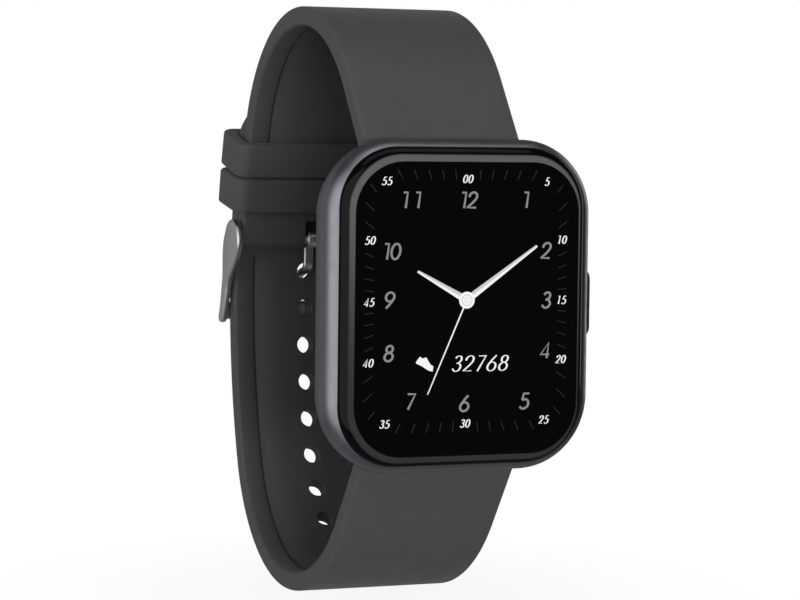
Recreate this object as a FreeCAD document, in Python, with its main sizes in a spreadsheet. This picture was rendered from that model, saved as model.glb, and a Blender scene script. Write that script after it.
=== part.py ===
import FreeCAD, Part
import Sketcher
import math
import os
import re
from FreeCAD import Placement, Rotation, Vector

# Smartwatch, buckled as worn. Millimetres, +Z towards twelve o'clock, +X towards three
# o'clock, the screen faces -Y. The origin is the centre of the space for the wrist.
# Depths are counted backwards (+Y) from the front of the cover glass.

X_AXIS = Vector(1, 0, 0)
Y_AXIS = Vector(0, 1, 0)

DIMENSIONS = (
    ("front_y", -34.0),
    ("case_width", 37.0), ("case_height", 42.8), ("case_corner", 9.6),
    ("case_front", 0.9), ("case_back", 9.6), ("front_round", 2.2), ("rear_round", 0.6),
    ("waist_depth", 4.5), ("waist_round", 8.0), ("case_taper", 18.0),
    ("glass_width", 33.8), ("glass_height", 40.7), ("glass_corner", 8.0),
    ("glass_thick", 1.6), ("glass_round", 0.9), ("seat_gap", 0.06), ("seat_depth", 1.75),
    ("pocket_width", 32.2), ("pocket_height", 39.0), ("pocket_corner", 6.5), ("pocket_depth", 3.3),
    ("cavity_width", 30.4), ("cavity_height", 32.4), ("cavity_corner", 3.4),
    ("panel_width", 31.6), ("panel_height", 38.2), ("panel_corner", 6.0), ("panel_thick", 1.4),
    ("notch_width", 22.4), ("notch_floor", 17.4), ("notch_depth", 6.25),
    ("boss_x", 13.4), ("boss_z", 14.4), ("boss_radius", 2.0), ("boss_depth", 6.0),
    ("screw_radius", 0.6), ("screw_head", 1.1),
    ("groove_width", 32.1), ("groove_height", 34.1), ("groove_corner", 4.4), ("groove_wall", 0.6),
    ("groove_depth", 0.4),
    ("cover_width", 32.6), ("cover_height", 34.4), ("cover_corner", 5.0), ("cover_thick", 1.3),
    ("cover_round", 0.9), ("window_radius", 9.4), ("window_top", 11.5), ("window_round", 0.7),
    ("window_seat", 10.3), ("contact_x", 2.0), ("contact_z", 13.4),
    ("tray_wall", 0.7), ("tray_front", 3.4), ("tray_floor", 0.6), ("tray_back", 8.8),
    ("tray_gap", 0.1), ("board_depth", 5.4), ("board_thick", 0.8), ("contact_head", 0.9),
    ("button_depth", 5.2), ("button_length", 8.6), ("button_width", 2.4),
    ("button_out", 19.7), ("button_in", 17.6), ("button_round", 0.4), ("stem_radius", 0.7),
    ("stem_start", 14.3), ("neck_radius", 0.42),
    ("bar_depth", 8.0), ("bar_height", 18.7), ("bar_radius", 0.75), ("bar_bore", 0.52),
    ("tip_radius", 0.4), ("barrel_radius", 1.25), ("lever_angle", -20.0), ("ear_hole", 1.2),
    ("band_width", 22.0), ("band_thick", 2.6), ("band_slope", 53.0), ("band_edge", 0.5),
    ("exit_depth", 8.2), ("exit_height", 21.7),
    ("crest_height", 39.2), ("crest_depth", 33.45), ("sole_height", 41.54), ("sole_depth", 36.75),
    ("back_centre", -17.8), ("back_height", -1.0), ("back_radius", 80.0), ("layer_gap", 0.15),
    ("recess_width", 17.0), ("recess_deep", 0.3),
    ("hole_radius", 1.25), ("hole_pitch", 5.5), ("used_hole", 1.55),
    ("tail_angle", 27.0), ("tail_corner", 7.5),
    ("pin_height", 6.3), ("pin_depth", 57.8), ("pin_radius", 0.8),
    ("arm_inner", 11.35), ("arm_outer", 12.3), ("bar_section", 1.7), ("bar_angle", -2.75),
    ("eye_radius", 3.0), ("tang_width", 1.4), ("tang_thick", 0.7), ("curl_radius", 1.3),
    ("keeper_high", 5.0), ("keeper_wall", 1.6), ("keeper_gap", 0.45),
    ("keeper_fixed", 10.85), ("keeper_free", 14.9), ("keeper_round", 0.6),
    ("motor_x", 9.9), ("motor_z", -7.5), ("motor_radius", 4.0), ("motor_depth", 4.2),
    ("motor_thick", 2.6), ("motor_wall", 0.25), ("shaft_radius", 0.35),
)

doc = FreeCAD.newDocument("smartwatch")
sheet = doc.addObject("Spreadsheet::Sheet", "dims")
for row, (alias, value) in enumerate(DIMENSIONS, start=1):
    sheet.set("A%d" % row, alias)
    sheet.set("B%d" % row, str(value))
    sheet.setAlias("B%d" % row, alias)
doc.recompute()

NODES = {}
CORNERS = ((1, 1), (1, -1), (-1, 1), (-1, -1))
THROUGH = "4"


# ---------------------------------------------------------------- helpers
def dim(alias):
    """The number in one cell of the sheet."""
    return float(sheet.get(alias))


def bind(thing, prop, formula):
    """Bind a property to the sheet: every word with an underscore is one of its cells."""
    thing.setExpression(prop, re.sub(r"\b([a-z]+_[a-z]+)\b", r"dims.\1", str(formula)))


def move(thing, x, y, z):
    """Bind the place of an object; y is a depth behind the front of the glass."""
    bind(thing, "Placement.Base.x", x)
    bind(thing, "Placement.Base.y", "front_y + %s" % y)
    bind(thing, "Placement.Base.z", z)
    return thing


def node(label, thing):
    """Name a finished piece."""
    thing.Label = label
    NODES[label] = thing
    return thing


def block(name, x, depth, z, wide, thick, high):
    """A box centred on x and z that starts at a depth."""
    thing = doc.addObject("Part::Box", name)
    bind(thing, "Length", wide)
    bind(thing, "Width", thick)
    bind(thing, "Height", high)
    return move(thing, "%s - (%s) / 2" % (x, wide), depth, "%s - (%s) / 2" % (z, high))


def disc(name, x, depth, z, radius, thick):
    """A cylinder along +Y that starts at a depth."""
    thing = doc.addObject("Part::Cylinder", name)
    bind(thing, "Radius", radius)
    bind(thing, "Height", thick)
    thing.Placement = Placement(Vector(), Rotation(X_AXIS, -90))
    return move(thing, x, depth, z)


def rod(name, x, depth, z, radius, length):
    """A cylinder along +X that starts at x."""
    thing = doc.addObject("Part::Cylinder", name)
    bind(thing, "Radius", radius)
    bind(thing, "Height", length)
    thing.Placement = Placement(Vector(), Rotation(Y_AXIS, 90))
    return move(thing, x, depth, z)


def fuse(name, *things):
    thing = doc.addObject("Part::MultiFuse", name)
    thing.Shapes = list(things)
    return thing


def cut(name, base, *tools):
    tool = tools[0] if len(tools) == 1 else fuse(name + "_tools", *tools)
    thing = doc.addObject("Part::Cut", name)
    thing.Base = base
    thing.Tool = tool
    return thing


def group(name, *things):
    """Separate solids that share one node."""
    thing = doc.addObject("Part::Compound", name)
    thing.Links = list(things)
    return thing


def drawn(name, shape):
    """A shape that neither a primitive nor a sketch gives."""
    thing = doc.addObject("Part::Feature", name)
    thing.Shape = shape
    return thing


def edges_where(shape, test):
    return ["Edge%d" % i for i, edge in enumerate(shape.Edges, start=1) if test(edge)]


def rounded(name, base, radius, test):
    """Part::Fillet on the edges of base that pass a test."""
    doc.recompute()
    thing = doc.addObject("Part::Fillet", name)
    thing.Base = base
    picked = edges_where(base.Shape, test)
    thing.Edges = [(int(edge[4:]), radius, radius) for edge in picked]
    return thing


def rounded_outline(sketch, wide, high, corner):
    """A fully constrained rounded rectangle about the sketch's origin."""
    half_w, half_h, r = 10.0, 12.0, 2.0
    corners = ((1, 1, 0), (1, -1, 270), (-1, -1, 180), (-1, 1, 90))
    ends = (
        (Vector(-half_w + r, half_h), Vector(half_w - r, half_h)),
        (Vector(half_w, half_h - r), Vector(half_w, -half_h + r)),
        (Vector(half_w - r, -half_h), Vector(-half_w + r, -half_h)),
        (Vector(-half_w, -half_h + r), Vector(-half_w, half_h - r)),
    )
    for (start, end), (sx, sz, angle) in zip(ends, corners):
        sketch.addGeometry(Part.LineSegment(start, end))
        circle = Part.Circle(Vector(sx * (half_w - r), sz * (half_h - r)), Vector(0, 0, 1), r)
        first = math.radians(angle)
        sketch.addGeometry(Part.ArcOfCircle(circle, first, first + math.pi / 2))
    for side in range(4):
        line, arc, following = 2 * side, 2 * side + 1, (2 * side + 2) % 8
        sketch.addConstraint(Sketcher.Constraint("Tangent", line, 2, arc, 2))
        sketch.addConstraint(Sketcher.Constraint("Tangent", arc, 1, following, 1))
        kind = "Horizontal" if side % 2 == 0 else "Vertical"
        sketch.addConstraint(Sketcher.Constraint(kind, line))
        if side:
            sketch.addConstraint(Sketcher.Constraint("Equal", 1, arc))
    sketch.addConstraint(Sketcher.Constraint("Symmetric", 0, 1, 4, 1, -1, 1))
    sizes = (
        ("wide", Sketcher.Constraint("DistanceX", 6, 1, 2, 1, 2 * half_w), wide),
        ("high", Sketcher.Constraint("DistanceY", 4, 1, 0, 1, 2 * half_h), high),
        ("corner", Sketcher.Constraint("Radius", 1, r), corner),
    )
    for name, constraint, formula in sizes:
        index = sketch.addConstraint(constraint)
        sketch.renameConstraint(index, name)
        bind(sketch, "Constraints." + name, formula)


def plane_of(body, role):
    return [f for f in body.Origin.OriginFeatures if f.Role == role][0]


def plate(name, depth, thick, wide, high, corner, x=0, z=0):
    """A PartDesign plate facing -Y with rounded corners."""
    body = doc.addObject("PartDesign::Body", name)
    sketch = body.newObject("Sketcher::SketchObject", name + "_outline")
    sketch.AttachmentSupport = (plane_of(body, "XZ_Plane"), [""])
    sketch.MapMode = "FlatFace"
    rounded_outline(sketch, wide, high, corner)
    pad = body.newObject("PartDesign::Pad", name + "_pad")
    pad.Profile = sketch
    pad.Reversed = True
    bind(pad, "Length", thick)
    move(body, x, depth, z)
    doc.recompute()
    return body


def round_rim(body, prop, depth):
    """PartDesign fillet on the edge of a plate at one depth, counted from its own front."""
    pad = body.Tip
    fillet = body.newObject("PartDesign::Fillet", body.Name + "_" + prop)
    names = edges_where(pad.Shape, lambda e: all(abs(v.Y - depth) < 1e-4 for v in e.Vertexes))
    fillet.Base = (pad, names)
    bind(fillet, "Radius", prop)
    body.Tip = fillet
    doc.recompute()
    return body


def at_depth(depth, z):
    """A point of the side view."""
    return Vector(0, dim("front_y") + depth, z)


def spread(face, half, shift=0.0):
    """Extrude a side-view face to both sides of the middle plane."""
    face.translate(Vector(shift - half, 0, 0))
    return face.extrude(Vector(2 * half, 0, 0))


# ---------------------------------------------------------------- strap side view
class Strap:
    """Side view of one strap: line, front arc, rear arc, back arc, all tangent."""

    def __init__(self, side, crest, crest_depth, back_radius):
        self.side = side
        self.slope = math.radians(dim("band_slope"))
        self.back = (dim("back_centre"), side * dim("back_height"))
        self.start = (dim("exit_depth"), dim("exit_height"))
        self.back_radius = back_radius
        run = (crest_depth - self.start[0]) * math.sin(self.slope)
        rise = (crest - self.start[1]) * math.cos(self.slope)
        self.front_radius = (run - rise) / (1 - math.cos(self.slope))
        self.front = (crest_depth, crest - self.front_radius)
        reach = crest_depth - self.back[0]
        climb = crest - self.back[1]
        spare = back_radius ** 2 - reach ** 2 - climb ** 2
        self.rear_radius = spare / (2 * (back_radius - climb))
        self.rear = (crest_depth, crest - self.rear_radius)
        self.turn = math.atan2(self.rear[1] - self.back[1], self.rear[0] - self.back[0])

    def point(self, centre, radius, angle):
        y = centre[0] + radius * math.cos(angle)
        z = centre[1] + radius * math.sin(angle)
        return at_depth(y, self.side * z)

    def at_start(self, inset):
        """Just inside the case, on the line of the outer surface moved in by inset."""
        back_off = 2.3
        y = self.start[0] - back_off * math.cos(self.slope) + inset * math.sin(self.slope)
        z = self.start[1] - back_off * math.sin(self.slope) - inset * math.cos(self.slope)
        return at_depth(y, self.side * z)

    def path(self, inset, end_angle):
        """Edges from the case to an angle on the back arc."""
        front_end = math.pi / 2 + self.slope
        points = [self.at_start(inset)]
        points.append(self.point(self.front, self.front_radius - inset, front_end))
        edges = [Part.makeLine(points[0], points[1])]
        arcs = (
            (self.front, self.front_radius, front_end, math.pi / 2),
            (self.rear, self.rear_radius, math.pi / 2, self.turn),
            (self.back, self.back_radius, self.turn, end_angle),
        )
        for centre, radius, first, last in arcs:
            edges.append(self.arc(centre, radius - inset, first, last))
        return edges

    def arc(self, centre, radius, first, last):
        middle = (first + last) / 2
        ends = [self.point(centre, radius, a) for a in (first, middle, last)]
        return Part.Arc(*ends).toShape()

    def section(self, shallow, deep, end_angle):
        """Closed face between two insets."""
        return closed_face(self.path(shallow, end_angle), self.path(deep, end_angle))


def closed_face(outer, inner):
    """Face between two runs of edges that start and end side by side."""
    caps = []
    for index in (0, -1):
        caps.append(Part.makeLine(outer[index].Vertexes[index].Point,
                                  inner[index].Vertexes[index].Point))
    return Part.Face(Part.Wire(Part.__sortEdges__(outer + inner + caps)))


def back_place(angle):
    """Turn about the centre of the strap's back arc, from its level position."""
    centre = at_depth(dim("back_centre"), dim("back_height"))
    return Placement(Vector(), Rotation(X_AXIS, angle), centre)


def on_back(name, angle, radius, wide, thick, high):
    """A box set square on the back arc; radius is its inner face."""
    thing = doc.addObject("Part::Box", name)
    bind(thing, "Length", wide)
    bind(thing, "Width", thick)
    bind(thing, "Height", high)
    doc.recompute()
    size = thing.Shape.BoundBox
    corner = Vector(-size.XLength / 2, 0, -size.ZLength / 2)
    corner = corner + at_depth(dim("back_centre") + radius, dim("back_height"))
    thing.Placement = back_place(angle).multiply(Placement(corner, Rotation()))
    return thing


def long_edges(wide):
    """Test for the edges along the two side faces of a strap."""
    def test(edge):
        return all(abs(abs(v.X) - wide / 2) < 1e-4 for v in edge.Vertexes) and edge.Length > 3
    return test


# ---------------------------------------------------------------- case
def case_blank():
    """Upright front half and tapering rear half, blended at the waist."""
    outline = ("case_width", "case_height", "case_corner")
    front = plate("case_front_half", "case_front", "waist_depth - case_front", *outline)
    rear = plate("case_rear_half", "waist_depth", "case_back - waist_depth", *outline)
    bind(rear.Tip, "TaperAngle", "-case_taper")
    blank = fuse("case_halves", front, rear)
    for prop, depth in (("waist_round", "waist_depth"), ("front_round", "case_front"),
                        ("rear_round", "case_back")):
        level = dim("front_y") + dim(depth)
        blank = rounded("case_" + prop, blank, dim(prop), lambda e: all(
            abs(v.Y - level) < 1e-4 for v in e.Vertexes))
    return blank


def strap_notch(name, side):
    """Slot at one end of the case that takes the end of a strap."""
    floor = dim("notch_floor")
    lean = math.tan(math.radians(dim("band_slope")))
    clearance, run, beyond = 0.42, 2.6, 1.6
    depth = dim("notch_depth")
    bend = dim("exit_height") + clearance - lean * (dim("exit_depth") - depth)
    top = bend + run * lean
    rear = dim("case_back") + beyond
    outline = ((depth, floor), (depth, bend), (depth + run, top), (rear, top), (rear, floor))
    points = [at_depth(y, side * z) for y, z in outline]
    face = Part.Face(Part.makePolygon(points + points[:1]))
    return drawn(name, spread(face, dim("notch_width") / 2))


def four_corners(maker, name, *sizes):
    things = []
    for index, (sx, sz) in enumerate(CORNERS):
        place = ("%d * boss_x" % sx, sizes[0], "%d * boss_z" % sz)
        things.append(maker("%s_%d" % (name, index), *place, *sizes[1:]))
    return things


def pill(name, x, length, long_z, wide_y):
    """Rounded slot shape along Z that starts at x and runs along +X."""
    reach = "(%s - %s) / 2" % (long_z, wide_y)
    ends = []
    for index, sign in enumerate(("", "-")):
        ends.append(rod("%s_end_%d" % (name, index), x, "button_depth",
                        "%s(%s)" % (sign, reach), "(%s) / 2" % wide_y, length))
    middle = block(name + "_middle", "%s + (%s) / 2" % (x, length),
                   "button_depth - (%s) / 2" % wide_y, "0", length, wide_y, "2 * " + reach)
    return fuse(name, middle, *ends)


def make_case():
    hollows = [
        plate("glass_seat", "case_front - 1", "seat_depth - case_front + 1",
              "glass_width + 2 * seat_gap", "glass_height + 2 * seat_gap", "glass_corner"),
        plate("display_pocket", "seat_depth - 0.5", "pocket_depth - seat_depth + 0.5",
              "pocket_width", "pocket_height", "pocket_corner"),
        plate("inner_cavity", "pocket_depth - 0.5", "case_back - pocket_depth + 1.5",
              "cavity_width", "cavity_height", "cavity_corner"),
        strap_notch("upper_notch", 1),
        strap_notch("lower_notch", -1),
    ]
    shell = cut("case_shell", case_blank(), *hollows)
    bosses = four_corners(disc, "boss", "boss_depth", "boss_radius", "case_back - boss_depth")
    shell = fuse("case_with_bosses", shell, *bosses)
    drilled = four_corners(disc, "boss_hole", "boss_depth + 0.4", "screw_radius + 0.02", THROUGH)
    for name, side in (("upper", ""), ("lower", "-")):
        drilled.append(rod(name + "_ear_hole", "-notch_width / 2 - ear_hole", "bar_depth",
                           side + "bar_height", "tip_radius + 0.05",
                           "notch_width + 2 * ear_hole"))
    drilled.append(pill("button_recess", "button_in - 0.4", "3",
                        "button_length + 0.3", "button_width + 0.3"))
    drilled.append(rod("stem_bore", "stem_start - 0.3", "button_depth", "0",
                       "stem_radius + 0.05", "button_out - stem_start + 0.3"))
    drilled.append(seal_ring("seal_groove", 0.0))
    node("case_frame", cut("case_frame", shell, *drilled))


def seal_ring(name, slack):
    """Rounded ring in the groove of the case's rear face."""
    outer = plate(name + "_outer", "case_back - groove_depth", "groove_depth",
                  "groove_width - %s" % (2 * slack), "groove_height - %s" % (2 * slack),
                  "groove_corner - %s" % slack)
    inner = plate(name + "_inner", "case_back - groove_depth - 1", "groove_depth + 2",
                  "groove_width - 2 * groove_wall + %s" % (2 * slack),
                  "groove_height - 2 * groove_wall + %s" % (2 * slack),
                  "groove_corner - groove_wall + %s" % slack)
    return cut(name, outer, inner)


# ---------------------------------------------------------------- screen
def make_screen():
    glass = plate("cover_glass", "0", "glass_thick", "glass_width", "glass_height", "glass_corner")
    node("cover_glass", round_rim(glass, "glass_round", 0.0))
    outer = plate("tape_outer", "glass_thick", "seat_depth - glass_thick",
                  "glass_width", "glass_height", "glass_corner")
    inner = plate("tape_inner", "glass_thick - 1", "3",
                  "pocket_width", "pocket_height", "pocket_corner")
    node("glass_gasket", cut("glass_gasket", outer, inner))
    node("display_panel", plate("display_panel", "glass_thick", "panel_thick",
                                "panel_width", "panel_height", "panel_corner"))


def make_display_flex():
    """Ribbon from the back of the display, through the tray, to the board."""
    rear = "glass_thick + panel_thick"
    wide, film = "7", "0.12"
    tab = block("flex_tab", "0", rear, "13.4", wide, film, "3.2")
    drop = block("flex_drop", "0", rear, "14.94", wide, "2.4", film)
    foot = block("flex_foot", "0", rear + " + 2.4 - " + film, "14.2", wide, film, "1.6")
    node("display_flex", fuse("display_flex", tab, drop, foot))


# ---------------------------------------------------------------- inside
def make_tray():
    blank = plate("tray_blank", "tray_front", "tray_back - tray_front",
                  "cavity_width - 2 * tray_gap", "cavity_height - 2 * tray_gap", "cavity_corner")
    hollow = plate("tray_hollow", "tray_front + tray_floor", "tray_back - tray_front",
                   "cavity_width - 2 * tray_gap - 2 * tray_wall",
                   "cavity_height - 2 * tray_gap - 2 * tray_wall",
                   "cavity_corner - tray_wall")
    tools = four_corners(disc, "boss_relief", "boss_depth - 0.15", "boss_radius + 0.15", THROUGH)
    tools.append(block("switch_relief", "14.8", "tray_front + tray_floor", "0", "2", "3", "6.4"))
    tools.append(block("flex_slot", "0", "tray_front - 1", "14.9", "8", "3", "0.9"))
    node("inner_tray", cut("inner_tray", blank, hollow, *tools))


def make_board():
    wide = block("board_wide", "0", "board_depth", "8.2", "27.6", "board_thick", "7.6")
    tongue = block("board_tongue", "0", "board_depth", "13.1", "21", "board_thick", "2.6")
    node("main_board", fuse("main_board", wide, tongue))
    rear = "board_depth + board_thick"
    node("shield_can", plate("shield_can", rear, "1.3", "13", "6.4", "0.5", "-5", "8.2"))
    # name, x, depth, z, then the size along x, depth and z
    chips = (
        ("memory_chip", 6.2, rear, 8.6, 5.0, 0.9, 5.0),
        ("crystal", 11.2, rear, 9.4, 2.0, 0.6, 1.6),
        ("inductor", 11.2, rear, 6.4, 2.0, 0.9, 2.0),
        ("radio_chip", -5.0, "board_depth - 0.7", 8.2, 4.0, 0.7, 4.0),
        ("power_chip", 5.0, "board_depth - 0.7", 8.2, 3.0, 0.7, 3.0),
    )
    node("board_chips", group("board_chips", *[block(*chip) for chip in chips]))
    node("board_connector", block("board_connector", "0", "glass_thick + panel_thick + 1.5",
                                  "13.9", "7.6", "0.78", "1.0"))
    node("antenna_flex", block("antenna_flex", "-14.25", "4.4", "0", "0.12", "3.8", "22"))


def make_battery():
    front, pad = "tray_front + tray_floor", "0.2"
    centre = ("-4.6", "-4.9")
    node("battery_cell", plate("battery_cell", front + " + " + pad, "3.6",
                               "18.6", "14.6", "1.6", *centre))
    node("battery_pad", plate("battery_pad", front, pad, "17", "13", "1.2", *centre))


def make_motor():
    """Coin vibration motor with an eccentric rotor on a fixed shaft."""
    def round_part(name, depth, radius, thick):
        return disc(name, "motor_x", depth, "motor_z", radius, thick)

    inside = "motor_thick - motor_wall"
    rotor_start, rotor_thick = "motor_depth + 0.3", "1.8"
    shell = round_part("motor_shell", "motor_depth", "motor_radius", "motor_thick")
    space = round_part("motor_space", "motor_depth - 0.1", "motor_radius - motor_wall",
                       inside + " + 0.1")
    node("motor_can", cut("motor_can", shell, space))
    node("motor_cover", round_part("motor_cover", "motor_depth - 0.2", "motor_radius", "0.2"))
    node("motor_shaft", round_part("motor_shaft", "motor_depth", "shaft_radius", inside))
    hub = round_part("rotor_hub", rotor_start, "1.1", rotor_thick)
    weight = round_part("rotor_disc", rotor_start, "motor_radius - 0.5", rotor_thick)
    away = block("rotor_half", "motor_x", "motor_depth", "motor_z + 2.6",
                 "9", "motor_thick", "5")
    half = cut("rotor_weight", weight, away)
    bore = round_part("rotor_bore", "motor_depth", "shaft_radius + 0.04", "motor_thick")
    node("motor_rotor", cut("motor_rotor", fuse("rotor_blank", hub, half), bore))


# ---------------------------------------------------------------- side button
def make_button():
    cap = pill("cap_blank", "button_in", "button_out - button_in", "button_length", "button_width")
    out = dim("button_out")
    cap = rounded("cap_rounded", cap, dim("button_round"),
                  lambda e: all(abs(v.X - out) < 1e-4 for v in e.Vertexes))
    stem = rod("stem", "stem_start", "button_depth", "0", "stem_radius",
               "button_in - stem_start + 0.3")
    seal_start, seal_length = 16.0, 0.5
    clip_start, clip_length = 14.68, 0.26
    tools = []
    for name, start, length in (("seal_neck", seal_start, seal_length),
                                ("clip_neck", clip_start, clip_length)):
        sleeve = rod(name + "_outer", start, "button_depth", "0", "1.2", length)
        core = rod(name + "_core", start - 0.1, "button_depth", "0", "neck_radius", length + 0.2)
        tools.append(cut(name, sleeve, core))
    node("button_cap", cut("button_cap", fuse("button_blank", cap, stem), *tools))
    ring = doc.addObject("Part::Torus", "button_seal")
    bind(ring, "Radius1", "(stem_radius + neck_radius) / 2 + 0.01")
    bind(ring, "Radius2", "(stem_radius - neck_radius) / 2 - 0.01")
    ring.Placement = Placement(Vector(), Rotation(Y_AXIS, 90))
    node("button_seal", move(ring, seal_start + seal_length / 2, "button_depth", "0"))
    washer = rod("clip_disc", clip_start + 0.02, "button_depth", "0", "1.05",
                 clip_length - 0.04)
    bore = rod("clip_bore", clip_start - 0.1, "button_depth", "0", "neck_radius + 0.02", "0.5")
    mouth = block("clip_mouth", clip_start + clip_length / 2, "button_depth - 0.3", "-1",
                  "1", "0.6", "2")
    node("button_clip", cut("button_clip", washer, bore, mouth))
    body = block("switch_block", "13.2", "button_depth - 1", "0", "1.5", "2", "3.6")
    well = rod("switch_well", "12.8", "button_depth", "0", "0.63", "2")
    node("button_switch", cut("button_switch", body, well))
    node("switch_plunger", rod("switch_plunger", "13.3", "button_depth", "0", "0.6", "0.95"))
    node("switch_flex", block("switch_flex", "12.38", "button_depth - 1", "1.2",
                              "0.12", "2", "6"))


# ---------------------------------------------------------------- back
def make_back():
    blank = plate("cover_blank", "case_back", "cover_thick",
                  "cover_width", "cover_height", "cover_corner")
    round_rim(blank, "cover_round", dim("cover_thick"))
    tools = [
        disc("window_pocket", "0", "window_seat", "0", "window_radius + 0.05", THROUGH),
        disc("window_hole", "0", "case_back - 1", "0", "window_radius - 1", THROUGH),
    ]
    tools += four_corners(disc, "cover_hole", "case_back - 1", "screw_radius + 0.1", THROUGH)
    tools += four_corners(disc, "head_recess", "case_back + 0.5", "screw_head + 0.1", THROUGH)
    for side in (-1, 1):
        tools.append(disc("contact_hole_%d" % side, "%d * contact_x" % side, "case_back - 1",
                          "-contact_z", "contact_head + 0.03", THROUGH))
    node("back_cover", cut("back_cover", blank, *tools))
    node("back_seal", seal_ring("back_seal", 0.03))
    pane = disc("window_blank", "0", "window_seat", "0", "window_radius",
                "window_top - window_seat")
    top = dim("front_y") + dim("window_top")
    node("sensor_window", rounded("sensor_window", pane, dim("window_round"), lambda e: abs(
        e.CenterOfMass.y - top) < 1e-4 and e.Length > dim("window_radius")))
    screws = [back_screw("screw_%d" % index, *signs) for index, signs in enumerate(CORNERS)]
    node("back_screws", group("back_screws", *screws))


def back_screw(name, sx, sz):
    """Pan-head screw with a cross recess, from the back cover into a boss."""
    x = "%d * boss_x" % sx
    z = "%d * boss_z" % sz
    head = disc(name + "_head", x, "case_back + 0.5", z, "screw_head", "0.7")
    shank = disc(name + "_shank", x, "boss_depth + 0.6", z, "screw_radius",
                 "case_back - boss_depth + 0.2")
    slots = []
    for part, wide, high in (("a", "1.2", "0.25"), ("b", "0.25", "1.2")):
        slots.append(block(name + "_slot_" + part, x, "case_back + 0.85", z, wide, "1", high))
    return cut(name, fuse(name + "_blank", head, shank), *slots)


def make_sensor():
    """Pulse sensor behind the window, and the charging contacts below it."""
    board, front, high = "tray_back - 0.6", "tray_back", "1.4"
    node("sensor_board", disc("sensor_board", "0", board, "0", "8.2", "0.6"))
    ring = disc("baffle_ring", "0", front, "0", "7.9", high)
    space = disc("baffle_space", "0", front + " - 0.1", "0", "7.3", high + " + 0.2")
    wall = block("baffle_wall", "0", front, "0", "14.9", high, "0.6")
    node("light_baffle", fuse("light_baffle", cut("baffle_tube", ring, space), wall))
    leds = [block("led_%d" % i, x, front, "2.6", "1.6", "0.7", "1.6")
            for i, x in enumerate((-2.4, 0.0, 2.4))]
    node("sensor_leds", group("sensor_leds", *leds))
    eyes = [block("photodiode_%d" % i, x, front, "-3.0", "3.0", "0.6", "2.4")
            for i, x in enumerate((-2.6, 2.6))]
    node("photodiodes", group("photodiodes", *eyes))
    pins = []
    magnets = []
    foot, shoulder = "case_back - 1.2", "case_back + 0.3"
    for index, sign in enumerate((-1, 1)):
        x = "%d * contact_x" % sign
        head = disc("pin_head_%d" % index, x, shoulder, "-contact_z", "contact_head", "1.0")
        stem = disc("pin_stem_%d" % index, x, foot, "-contact_z", "0.5", "1.5")
        pins.append(fuse("charging_pin_%d" % index, head, stem))
        magnets.append(disc("magnet_%d" % index, 6.6 * sign, foot, "-12.9", "1.6", "1.15"))
    node("charging_pins", group("charging_pins", *pins))
    node("charging_magnets", group("charging_magnets", *magnets))


# ---------------------------------------------------------------- spring bars at the case
def lever_slot(name, side, start, wide, reach, across):
    """Box from the spring bar's axis towards the wrist side of the strap."""
    shape = Part.makeBox(wide, reach, across, Vector(start, 0, -across / 2))
    shape.Placement = bar_place(side)
    return drawn(name, shape)


def bar_place(side):
    """On the axis of a spring bar, +Y turned to the way its lever points."""
    axis = at_depth(dim("bar_depth"), side * dim("bar_height"))
    return Placement(axis, Rotation(X_AXIS, side * dim("lever_angle")))


def make_spring_bar(side, name):
    """Quick-release bar: tube, fixed tip, sliding tip with a thumb lever, spring."""
    z = "%d * bar_height" % side
    tube = rod(name + "_tube_blank", "-10.2", "bar_depth", z, "bar_radius", "20.8")
    core = rod(name + "_tube_core", "-11", "bar_depth", z, "bar_bore", "23")
    slot = lever_slot(name + "_tube_slot", side, -9.1, 2.3, 1.0, 0.8)
    node(name + "_bar_tube", cut(name + "_bar_tube", tube, core, slot))
    plug = rod(name + "_plug", "9.2", "bar_depth", z, "bar_bore - 0.02", "1.4")
    tip = rod(name + "_plug_tip", "10.5", "bar_depth", z, "tip_radius", "1.6")
    node(name + "_fixed_tip", fuse(name + "_fixed_tip", plug, tip))
    plunger = rod(name + "_plunger", "-10.2", "bar_depth", z, "bar_bore - 0.04", "2.2")
    tip = rod(name + "_plunger_tip", "-12.1", "bar_depth", z, "tip_radius", "2.0")
    lever_radius, lever_length, lever_x = 0.3, 1.95, -8.6
    lever = Part.makeCylinder(lever_radius, lever_length, Vector(lever_x, 0, 0), Y_AXIS)
    lever.Placement = bar_place(side)
    lever = drawn(name + "_lever", lever)
    node(name + "_sliding_tip", fuse(name + "_sliding_tip", plunger, tip, lever))
    pitch, coil_length, coil_radius, wire_radius, coil_x = 0.8, 5.6, 0.36, 0.09, -7.85
    coil = Part.makeHelix(pitch, coil_length, coil_radius)
    wire = Part.Wire(Part.makeCircle(wire_radius, Vector(coil_radius, 0, 0), Y_AXIS))
    spring = Part.Wire(coil).makePipeShell([wire], True, True)
    spring.Placement = Placement(bar_place(side).Base + Vector(coil_x, 0, 0),
                                 Rotation(Y_AXIS, 90))
    node(name + "_bar_spring", drawn(name + "_bar_spring", spring))


# ---------------------------------------------------------------- straps
def strap_blank(name, face):
    """Side-view face made as wide as the strap, with its long edges rounded."""
    flat = drawn(name + "_section", face)
    thick = doc.addObject("Part::Extrusion", name + "_blank")
    thick.Base = flat
    thick.DirMode = "Custom"
    thick.Dir = X_AXIS
    thick.Symmetric = True
    thick.Solid = True
    bind(thick, "LengthFwd", "band_width")
    return rounded(name + "_edged", thick, dim("band_edge"), long_edges(dim("band_width")))


def strap_recess(name, strap, end_angle):
    """Shallow panel sunk in the wrist side."""
    thick = dim("band_thick")
    face = strap.section(thick - dim("recess_deep"), thick + 1, end_angle)
    outline = spread(face, dim("recess_width") / 2)
    clear = Part.makeBox(40, 60, 47, Vector(-20, dim("front_y") - 5, -23.5))
    return drawn(name + "_recess", outline.cut(clear))


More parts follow.
